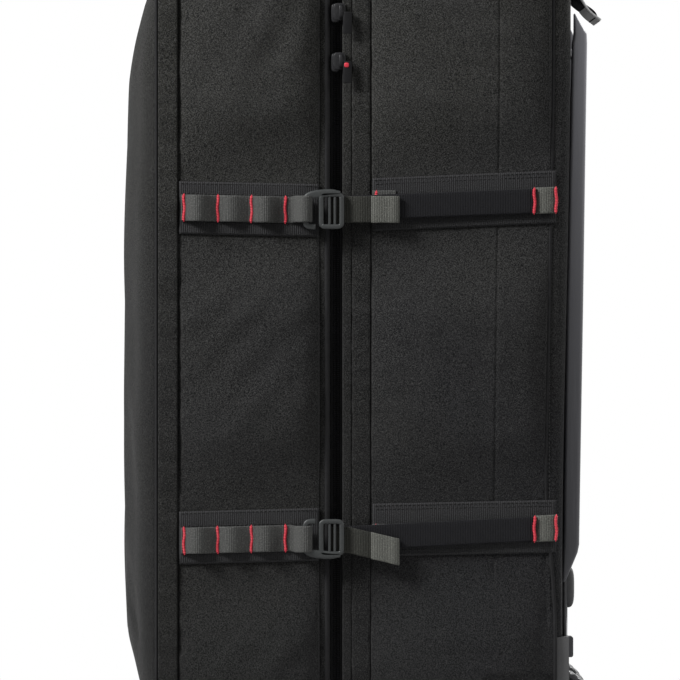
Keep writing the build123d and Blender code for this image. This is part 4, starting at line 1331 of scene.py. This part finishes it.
for number in (1, 2):
    low, high = node_box(f"zip_slider_{number}")
    centre = (low + high) / 2
    top_x = high[0]
    blocks = [
        soft_block(
            "body", (top_x - 1.2 * MM, centre[1], centre[2] + 1 * MM), (2.6 * MM, 9.4 * MM, 13 * MM), ZIP_METAL
        ),
        soft_block(
            "foot", (top_x - 4.4 * MM, centre[1] - 3.0 * MM, centre[2]), (3.6 * MM, 6.4 * MM, 14 * MM), ZIP_METAL
        ),
        loop_bar(
            "bridge",
            [(top_x - 0.4 * MM, centre[1] + 1 * MM, centre[2] + 6.2 * MM),
             (top_x + 2.2 * MM, centre[1] + 1 * MM, centre[2] + 4.6 * MM),
             (top_x + 2.4 * MM, centre[1] + 1 * MM, centre[2] - 1.2 * MM),
             (top_x - 0.2 * MM, centre[1] + 1 * MM, centre[2] - 4.2 * MM)],
            2.6 * MM, 1.5 * MM, ZIP_METAL,
        ),
    ]
    slider = joined(f"slider_{number}_metal", blocks)
    finish_piece(slider, f"slider_{number}", "zip_metal", f"zip_slider_{number}")
    low, high = node_box(f"zip_pull_{number}")
    middle = (low + high) / 2
    tab = [
        loop_bar(
            "tab",
            [(middle[0] + 0.3 * MM, middle[1], high[2] - 0.5 * MM),
             (middle[0] + 0.5 * MM, middle[1], middle[2] + 4 * MM),
             (middle[0] + 0.2 * MM, middle[1], low[2] + 8.5 * MM)],
            6.8 * MM, 1.8 * MM, ZIP_BLACK_AND_SHADE,
        ),
    ]
    if number == 1:
        mark = (middle[0] + 1.5 * MM, middle[1] - 0.6 * MM, high[2] - 3.4 * MM)
        tab.append(soft_block("mark", mark, (0.9 * MM, 3.6 * MM, 3.6 * MM), RED_THREAD, 3.0, 8, 12))
    finish_piece(joined(f"pull_{number}_tab", tab), f"pull_{number}", "zip_plastic", f"zip_pull_{number}")
print("sliders done")

# %% [markdown]
# The far side is a fabric hinge. Its strip joins the two halves, with a soft fold along its middle and a little
# rumple.

# %% Hinge gusset
GUSSET_REACH = 46 * MM
gusset_z = np.linspace(
    SHELL_LOW[2] + CORNER - GUSSET_REACH, SHELL_HIGH[2] - CORNER + GUSSET_REACH, 260
)[:, None]
from_middle = np.abs(gusset_z - (SHELL_LOW[2] + SHELL_HIGH[2]) / 2)
past = np.maximum(from_middle - (SHELL_HIGH[2] - SHELL_LOW[2]) / 2 + CORNER, 0)
turn_in = CORNER - np.sqrt(CORNER**2 - np.minimum(past, 0.98 * CORNER) ** 2)
gusset_y = np.linspace(-33 * MM, -8 * MM, 13)[None]
fold = np.exp(-(((gusset_y - (BACK_RIM + FRONT_RIM) / 2) / (4.5 * MM)) ** 2))
rumple = 0.4 * MM * creases(gusset_y, gusset_z, 77, 8, (0.02, 0.07))
gusset_x = -SIDE_X + turn_in + 1.2 * MM + 2.4 * MM * fold + rumple
gusset_grid = np.stack([gusset_x, gusset_y + 0 * gusset_z, gusset_z + 0 * gusset_y], -1)
gusset = surface("hinge_gusset", gusset_grid, [BORDER], flip=True)
add_wall(gusset, 1.6 * MM)
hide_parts("hinge_fabric_back", "hinge_fabric_front")
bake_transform(gusset)
print("gusset", gusset_grid.shape)

# %% [markdown]
# Handles are webbing too: a padded grip on the strap side, a bowed carry handle on the far side
# of the front half, and a grab handle on the nose. Each sewn end has a patch with a boxed cross
# of stitches.

# %% Handles
def patch_rows(corner, along, across):
    """Boxed cross: the four sides and two diagonals of a patch, as stitch paths."""
    corner, along, across = (np.asarray(v, float) for v in (corner, along, across))
    a, b, c, d = corner, corner + along, corner + along + across, corner + across
    return [np.linspace(p, q, 12) for p, q in ((a, b), (b, c), (c, d), (d, a), (a, c), (b, d))]


low, high = node_box("side_handle")
anchor_low, anchor_high = node_box("side_handle_anchors")
hinge_y, grip_y = anchor_high[1] + 2.5 * MM, high[1] - 12 * MM
mid_x = (low[0] + high[0]) / 2
leg_low, leg_high = low[2] + 13 * MM, high[2] - 13 * MM
grip = loop_bar(
    "grip",
    [(mid_x, grip_y - 6 * MM, leg_low + 4 * MM), (mid_x, grip_y, leg_low + 22 * MM),
     (mid_x + 0.8 * MM, grip_y + 1 * MM, (leg_low + leg_high) / 2),
     (mid_x, grip_y, leg_high - 22 * MM), (mid_x, grip_y - 6 * MM, leg_high - 4 * MM)],
    23 * MM, 5.0 * MM, BORDER, Y_AXIS, 60,
)
ends = []
for leg, inward in ((leg_low, 1), (leg_high, -1)):
    ends.append(
        strip(
            "leg",
            smooth_path(
                [(mid_x, hinge_y, leg), (mid_x + 0.6 * MM, hinge_y + 16 * MM, leg),
                 (mid_x + 0.4 * MM, hinge_y + 34 * MM, leg + inward * 4 * MM)], 30,
            ),
            Z_AXIS, 25 * MM, 2.6 * MM, STRAP_BLACK,
        )
    )
finish_piece(joined("side_handle_grip", [grip, *ends]), "side_grip", "webbing", "side_handle")

patches, patch_stitches = [], []
for leg in (leg_low, leg_high):
    patches.append(
        strip(
            "patch",
            np.array([(SIDE_X + 1.4 * MM, y, leg) for y in np.linspace(anchor_low[1], anchor_high[1], 14)]),
            Z_AXIS, 26 * MM, 2.0 * MM, STRAP_BLACK,
        )
    )
    patch_stitches += patch_rows(
        (SIDE_X + 2.5 * MM, anchor_low[1] + 3 * MM, leg - 10 * MM), (0, 20 * MM, 0), (0, 0, 20 * MM)
    )
finish_piece(joined("side_handle_patches", patches), "back_half", "webbing", "side_handle_anchors")
finish_piece(stitch_rows("side_handle_stitches", patch_stitches), "back_half", "webbing_grey")

low, high = node_box("far_handle")
far_y, far_out = (low[1] + high[1]) / 2, -low[0]
bow_z = np.linspace(low[2], high[2], 90)
share = (bow_z - low[2]) / (high[2] - low[2])
bow_x = -(SIDE_X + 1.6 * MM + (far_out - SIDE_X - 3.2 * MM) * np.sin(np.pi * share) ** 0.55)
bow_path = np.stack([bow_x, np.full(90, far_y), bow_z], -1)
bow = strip("bow", bow_path, Y_AXIS, 36 * MM, 2.6 * MM, STRAP_BLACK)
inner = slice(24, 66)
wrap_path = np.stack([bow_x[inner] + 0.4 * MM, np.full(42, far_y), bow_z[inner]], -1)
wrapped = surface(
    "wrapped",
    tube_grid(
        wrap_path, np.broadcast_to([0.0, 1.0, 0.0], wrap_path.shape),
        np.broadcast_to([1.0, 0.0, 0.0], wrap_path.shape), round_bar(37.5 * MM, 6.0 * MM, 4, 3.0),
    ),
    [BORDER], False, True,
)
finish_piece(joined("far_carry_handle", [bow, wrapped]), "front_half", "webbing", "far_handle")

low, high = node_box("grab_handle")
nose_y, top_z = (low[1] + high[1]) / 2, high[2]
leg_x = high[0] - 13 * MM
grab = loop_bar(
    "grab",
    [(-leg_x, nose_y, low[2] + 5 * MM), (-leg_x + 1 * MM, nose_y, low[2] + 20 * MM),
     (-leg_x + 9 * MM, nose_y, top_z - 9 * MM), (-leg_x + 26 * MM, nose_y, top_z - 6.4 * MM),
     (0, nose_y, top_z - 6 * MM), (leg_x - 26 * MM, nose_y, top_z - 6.4 * MM),
     (leg_x - 9 * MM, nose_y, top_z - 9 * MM), (leg_x - 1 * MM, nose_y, low[2] + 20 * MM),
     (leg_x, nose_y, low[2] + 5 * MM)],
    24 * MM, 2.6 * MM, STRAP_BLACK, Y_AXIS, 90,
)
pad = loop_bar(
    "pad",
    [(-36 * MM, nose_y, top_z - 6 * MM), (0, nose_y, top_z - 5.6 * MM), (36 * MM, nose_y, top_z - 6 * MM)],
    25.5 * MM, 8.0 * MM, BORDER, Y_AXIS, 40,
)
finish_piece(joined("nose_grab_handle", [grab, pad]), "nose_grip", "webbing", "grab_handle")
low, high = node_box("grab_anchors")
ends, rows = [], []
for side in (-1, 1):
    inner_x, outer_x = side * (leg_x + 14 * MM), side * high[0]
    ends.append(
        strip(
            "end",
            np.array([(x, nose_y, high[2] - 2.2 * MM) for x in np.linspace(inner_x, outer_x, 12)]),
            Y_AXIS, 25 * MM, 2.4 * MM, STRAP_BLACK,
        )
    )
    rows += patch_rows(
        (side * (leg_x + 17 * MM), nose_y - 9 * MM, high[2] - 0.8 * MM),
        (side * 18 * MM, 0, 0), (0, 18 * MM, 0),
    )
finish_piece(joined("grab_handle_ends", ends), "back_half", "webbing", "grab_anchors")
finish_piece(stitch_rows("grab_handle_stitches", rows), "back_half", "webbing_grey")
print("handles done")

# %% [markdown]
# A thin plastic sheet stiffens the back half. It follows the back panel, which is drawn in low
# down, and stays just inside its lining.

# %% Stiffener sheet
sheet_low, sheet_high = node_box("back_stiffener")
sheet_z = np.linspace(sheet_low[2], sheet_high[2], 120)[:, None]
sheet_x = np.linspace(sheet_low[0] + 3 * MM, sheet_high[0] - 3 * MM, 9)[None]
sheet_y = np.minimum(sheet_low[1] + 0.2 * MM, BACK_RIM + back_depth(sheet_z) - 10.4 * MM) + 0 * sheet_x
sheet_grid = np.stack([sheet_x + 0 * sheet_z, sheet_y, sheet_z + 0 * sheet_x], -1)
stiffener = surface("stiffener", sheet_grid, [SHEET])
add_wall(stiffener, 2.0 * MM, 0.0)
finish_piece(stiffener, "back_half", "stiffener", "back_stiffener")

# %% [markdown]
# Inside the back half two wide straps with buckles hold the board. Behind, near the top of the
# skid rails, a short loop of webbing carries a blank cloth label.

# %% Board straps, buckles, loop and label
low, high = node_box("board_straps")
buckle_low, buckle_high = node_box("board_buckles")
board_parts, buckle_parts = [], []
strap_y = (low[1] + high[1]) / 2
for height in (low[2] + 20 * MM, high[2] - 20 * MM):
    for side in (-1, 1):
        x = np.linspace(side * (high[0] - 0.5 * MM), side * (buckle_high[0] - 4 * MM), 50)
        sag = 3 * MM * np.sin(np.pi * np.linspace(0, 1, 50))
        path = np.stack([x, strap_y + sag, np.full(50, height)], -1)
        board_parts.append(strip("board_strap", path, Z_AXIS, 38 * MM, 1.8 * MM, STRAP_BLACK))
    for offset, width in ((-1, 24), (1, 26)):
        buckle_parts.append(
            soft_block(
                "buckle", (offset * 13.5 * MM, (buckle_low[1] + buckle_high[1]) / 2, height),
                (width * MM, 9 * MM, (48 + offset * 2) * MM), HOUSING, 5.0, 18, 28,
            )
        )
finish_piece(joined("board_strap_webbing", board_parts), "back_half", "webbing", "board_straps")
finish_piece(joined("board_buckle_bodies", buckle_parts), "back_half", "housing_plastic", "board_buckles")

low, high = node_box("rear_loop")
label_low, label_high = node_box("rear_loop_label")
loop_path = smooth_path(
    [(0, low[1] - 1 * MM, high[2] - 4 * MM), (0, low[1] + 7 * MM, high[2] - 14.5 * MM),
     (0, high[1] - 6.4 * MM, low[2] + 13.5 * MM), (0, high[1] - 3.4 * MM, low[2] + 8.6 * MM)], 50,
)
TWIST = (0.975, 0.185, 0.124)
loop_web = strip("loop", loop_path, TWIST, 24 * MM, 3.0 * MM, STRAP_BLACK)
finish_piece(loop_web, "back_half", "webbing", "rear_loop")
label_path = smooth_path(
    [(0, label_low[1] - 1.2 * MM, label_high[2] + 3 * MM),
     (0, (label_low[1] + label_high[1]) / 2 - 1.2 * MM, label_low[2] + 15 * MM),
     (0, label_high[1] - 1.3 * MM, label_low[2] + 6.6 * MM)], 40,
)
label = strip("label", label_path, TWIST, 24.8 * MM, 2.6 * MM, LABEL)
finish_piece(label, "back_half", "label_cloth", "rear_loop_label")
print("inside and loop done")

# %% [markdown]
# The tyres are turned on a lathe, in effect: a rounded section carried round the axle. The
# tread is cut by lowering the radius along slanting grooves.

# %% Tyres
def turned(name, centre, outer, inner, width, material, count=160):
    """Ring about X: superellipse section; the outer face loses depth along slanting grooves."""
    section = round_bar(width, outer - inner, 8, 4.5)
    turn = np.arange(count)[:, None] * 2 * np.pi / count
    side, rise = section[None, :, 0], section[None, :, 1] + (outer + inner) / 2
    slant = np.sin(turn * 32 + np.abs(side) * 420)
    tread = np.clip((rise - (outer - 2.5 * MM)) / (1.5 * MM), 0, 1)
    radius = rise - 0.9 * MM * tread * (slant > 0.45)
    grid = np.stack([side + 0 * turn, radius * np.sin(turn), radius * np.cos(turn)], -1)
    return surface(name, grid + np.asarray(centre), [material], True, True)


for name in ("left", "right"):
    low, high = node_box(f"tyre_{name}")
    hub_low, hub_high = node_box(f"wheel_hub_{name}")
    centre = (low + high) / 2
    tyre = turned(
        f"tyre_{name}_tread", centre, (high[2] - low[2]) / 2, (hub_high[2] - hub_low[2]) / 2 - 0.2 * MM,
        high[0] - low[0], TYRE,
    )
    tidy_mesh(tyre)
    finish_piece(tyre, f"wheel_{name}", "tyre_rubber", f"tyre_{name}")
print("tyres done")

# %% [markdown]
# A skid rail is one moulded bar. Its section is a rounded rectangle whose two faces move as it
# climbs: the back face follows the drawn-in cloth, and the front face stands prouder at the top,
# where the bar ends in a free tip. Below it a soft lug and a thin metal strut reach the housing.

# %% Skid rails, lugs and struts
RAIL_LOW, RAIL_HIGH = node_box("skid_rail_right")
RAIL_FOOT, RAIL_TIP = RAIL_LOW[2], RAIL_HIGH[2]
BACK_PLANE = SHELL_HIGH[1]
FRONT_STOPS = np.array([
    (0, -4.5), (2, -3.0), (22, 5.4), (28, 6.6), (66, 7.2), (206, 9.6), (330, 11.4), (405, 12.6),
    (412, 12.3), (427, 3.4),
]) * MM
BACK_STOPS = np.array([
    (0, -6.2), (66, -5.6), (206, -3.4), (366, 0.2), (405, 1.2), (410, 2.4), (427, 2.6),
]) * MM


def rail_bar(name, centre_x):
    """Rounded rectangle carried up z; its depth and middle come from the two faces' stops."""
    rise = np.unique(np.concatenate([np.linspace(0, RAIL_TIP - RAIL_FOOT, 110), FRONT_STOPS[:, 0]]))
    front = np.interp(rise, FRONT_STOPS[:, 0], FRONT_STOPS[:, 1])
    back = np.interp(rise, BACK_STOPS[:, 0], BACK_STOPS[:, 1])
    section = round_bar(1.0, 1.0, 8, 7.0)[None]
    width = RAIL_HIGH[0] - RAIL_LOW[0]
    path = np.stack([0 * rise + centre_x, BACK_PLANE + (front + back) / 2, RAIL_FOOT + rise], -1)
    depth = np.maximum(front - back, 0.6 * MM)[:, None]
    profile = np.stack([0 * depth + section[..., 0] * width, section[..., 1] * depth], -1)
    grid = tube_grid(path, spread(X_AXIS, path), spread(Y_AXIS, path), profile)
    return surface(name, grid, [RAIL], False, True, True)


lugs, struts = [], []
for name, side in (("left", -1), ("right", 1)):
    low, high = node_box(f"skid_rail_{name}")
    centre_x = (low[0] + high[0]) / 2
    finish_piece(rail_bar(f"rail_{name}", centre_x), "back_half", "rail_plastic", f"skid_rail_{name}")
    lugs.append(
        soft_block(
            "lug", (centre_x, BACK_PLANE - 2.8 * MM, RAIL_FOOT - 4.0 * MM), (20 * MM, 11.6 * MM, 31 * MM),
            RUBBER, 3.4, 18, 24,
        )
    )
    lugs.append(
        loop_bar(
            "web",
            [(centre_x, BACK_PLANE - 4.4 * MM, RAIL_FOOT + 4 * MM),
             (centre_x, BACK_PLANE - 4.4 * MM, RAIL_FOOT - 18 * MM),
             (centre_x, BACK_PLANE - 4.4 * MM, RAIL_FOOT - 44 * MM)],
            24 * MM, 4.6 * MM, RUBBER, X_AXIS,
        )
    )
    struts.append(
        loop_bar(
            "strut",
            [(centre_x + side * 9 * MM, BACK_PLANE - 4.6 * MM, RAIL_FOOT + 2 * MM),
             (centre_x + side * 9 * MM, BACK_PLANE - 4.2 * MM, RAIL_FOOT - 18 * MM),
             (centre_x + side * 9 * MM, BACK_PLANE - 3.4 * MM, RAIL_FOOT - 42 * MM)],
            2.6 * MM, 2.0 * MM, STEEL,
        )
    )
finish_piece(joined("rail_lugs", lugs), "back_half", "rail_plastic", "rail_end_lugs")
finish_piece(joined("rail_struts", struts), "back_half", "steel")
print("rails done")

# %% [markdown]
# Moulded and metal pieces come from the CAD model with the right shape, so they only need the
# right finish.

# %% Finishes for the CAD pieces
CAD_FINISHES = {
    RAIL: ["corner_bumpers"],
    HOUSING: ["wheel_housing"],
    HUB: ["wheel_hub_left", "wheel_hub_right"],
    STEEL: ["wheel_bearings_left", "wheel_bearings_right", "axle_left", "axle_right", "rail_rivets"],
    RUBBER: ["front_feet", "middle_feet"],
}
for finish, nodes in CAD_FINISHES.items():
    for node in nodes:
        thing = bpy.data.objects[node]
        for piece in [thing, *thing.children_recursive]:
            if piece.type == "MESH":
                piece.data.materials.clear()
                piece.data.materials.append(finish)

# %% [markdown]
# The floor is pale and fades out a little way from the bag, and the camera sees a white world
# behind it. The world lights the bag evenly; one large lamp, high and to the front, shapes it.

# %% Floor, world and lamp
floor_finish = Finish("floor", 0.9)
floor_finish.set("Base Color", rgb(0.66, 0.66, 0.66))
floor_x, floor_y = floor_finish.axes(floor_finish.place())[:2]
reach = (floor_x * floor_x + floor_y * floor_y).power(0.5)
fade = floor_finish.span(reach, 0.30, 0.62)
clear = floor_finish.add("ShaderNodeBsdfTransparent")[0]
mix = floor_finish.add("ShaderNodeMixShader", None, {0: fade})[0]
mix_node = mix.socket.node
floor_finish.tree.links.new(floor_finish.shader.outputs[0], mix_node.inputs[1])
floor_finish.tree.links.new(clear.socket, mix_node.inputs[2])
floor_finish.tree.links.new(mix.socket, floor_finish.tree.nodes["Material Output"].inputs["Surface"])
corners = np.array([(-2.0, -2.0, 0.0), (2.0, -2.0, 0.0), (2.0, 2.0, 0.0), (-2.0, 2.0, 0.0)])
floor = mesh_object("floor", corners, np.array([[0, 1, 2, 3]]), [floor_finish.material])

world = bpy.data.worlds.new("studio")
world.use_nodes = True
bpy.context.scene.world = world
tree = world.node_tree
background = tree.nodes["Background"]
background.inputs["Color"].default_value = (1, 1, 1, 1)
rays = tree.nodes.new("ShaderNodeLightPath")
seen = tree.nodes.new("ShaderNodeMath")
seen.operation = "MAXIMUM"
tree.links.new(rays.outputs["Is Camera Ray"], seen.inputs[0])
tree.links.new(rays.outputs["Is Glossy Ray"], seen.inputs[1])
through = tree.nodes.new("ShaderNodeMath")
through.operation = "MAXIMUM"
tree.links.new(seen.outputs[0], through.inputs[0])
tree.links.new(rays.outputs["Is Transmission Ray"], through.inputs[1])
strength = tree.nodes.new("ShaderNodeMapRange")
strength.inputs["To Min"].default_value = 0.21
strength.inputs["To Max"].default_value = 1.0
tree.links.new(through.outputs[0], strength.inputs["Value"])
tree.links.new(strength.outputs[0], background.inputs["Strength"])



def soft_lamp(name, place, size, energy):
    """A round area lamp aimed at the bag's lower half."""
    data = bpy.data.lights.new(name, "AREA")
    data.shape = "DISK"
    data.size = size
    data.energy = energy
    lamp = bpy.data.objects.new(name, data)
    lamp.location = place
    aim = mathutils.Vector((0.1, 0.0, 0.45)) - lamp.location
    lamp.rotation_euler = aim.to_track_quat("-Z", "Y").to_euler()
    bpy.context.scene.collection.objects.link(lamp)


soft_lamp("key", (1.15, -1.85, 1.95), 0.9, 138)
soft_lamp("fill", (1.2, 3.4, 1.8), 1.6, 55)
soft_lamp("back", (-2.6, 2.2, 2.2), 1.6, 110)
scene = bpy.context.scene
scene.view_settings.view_transform = "Standard"
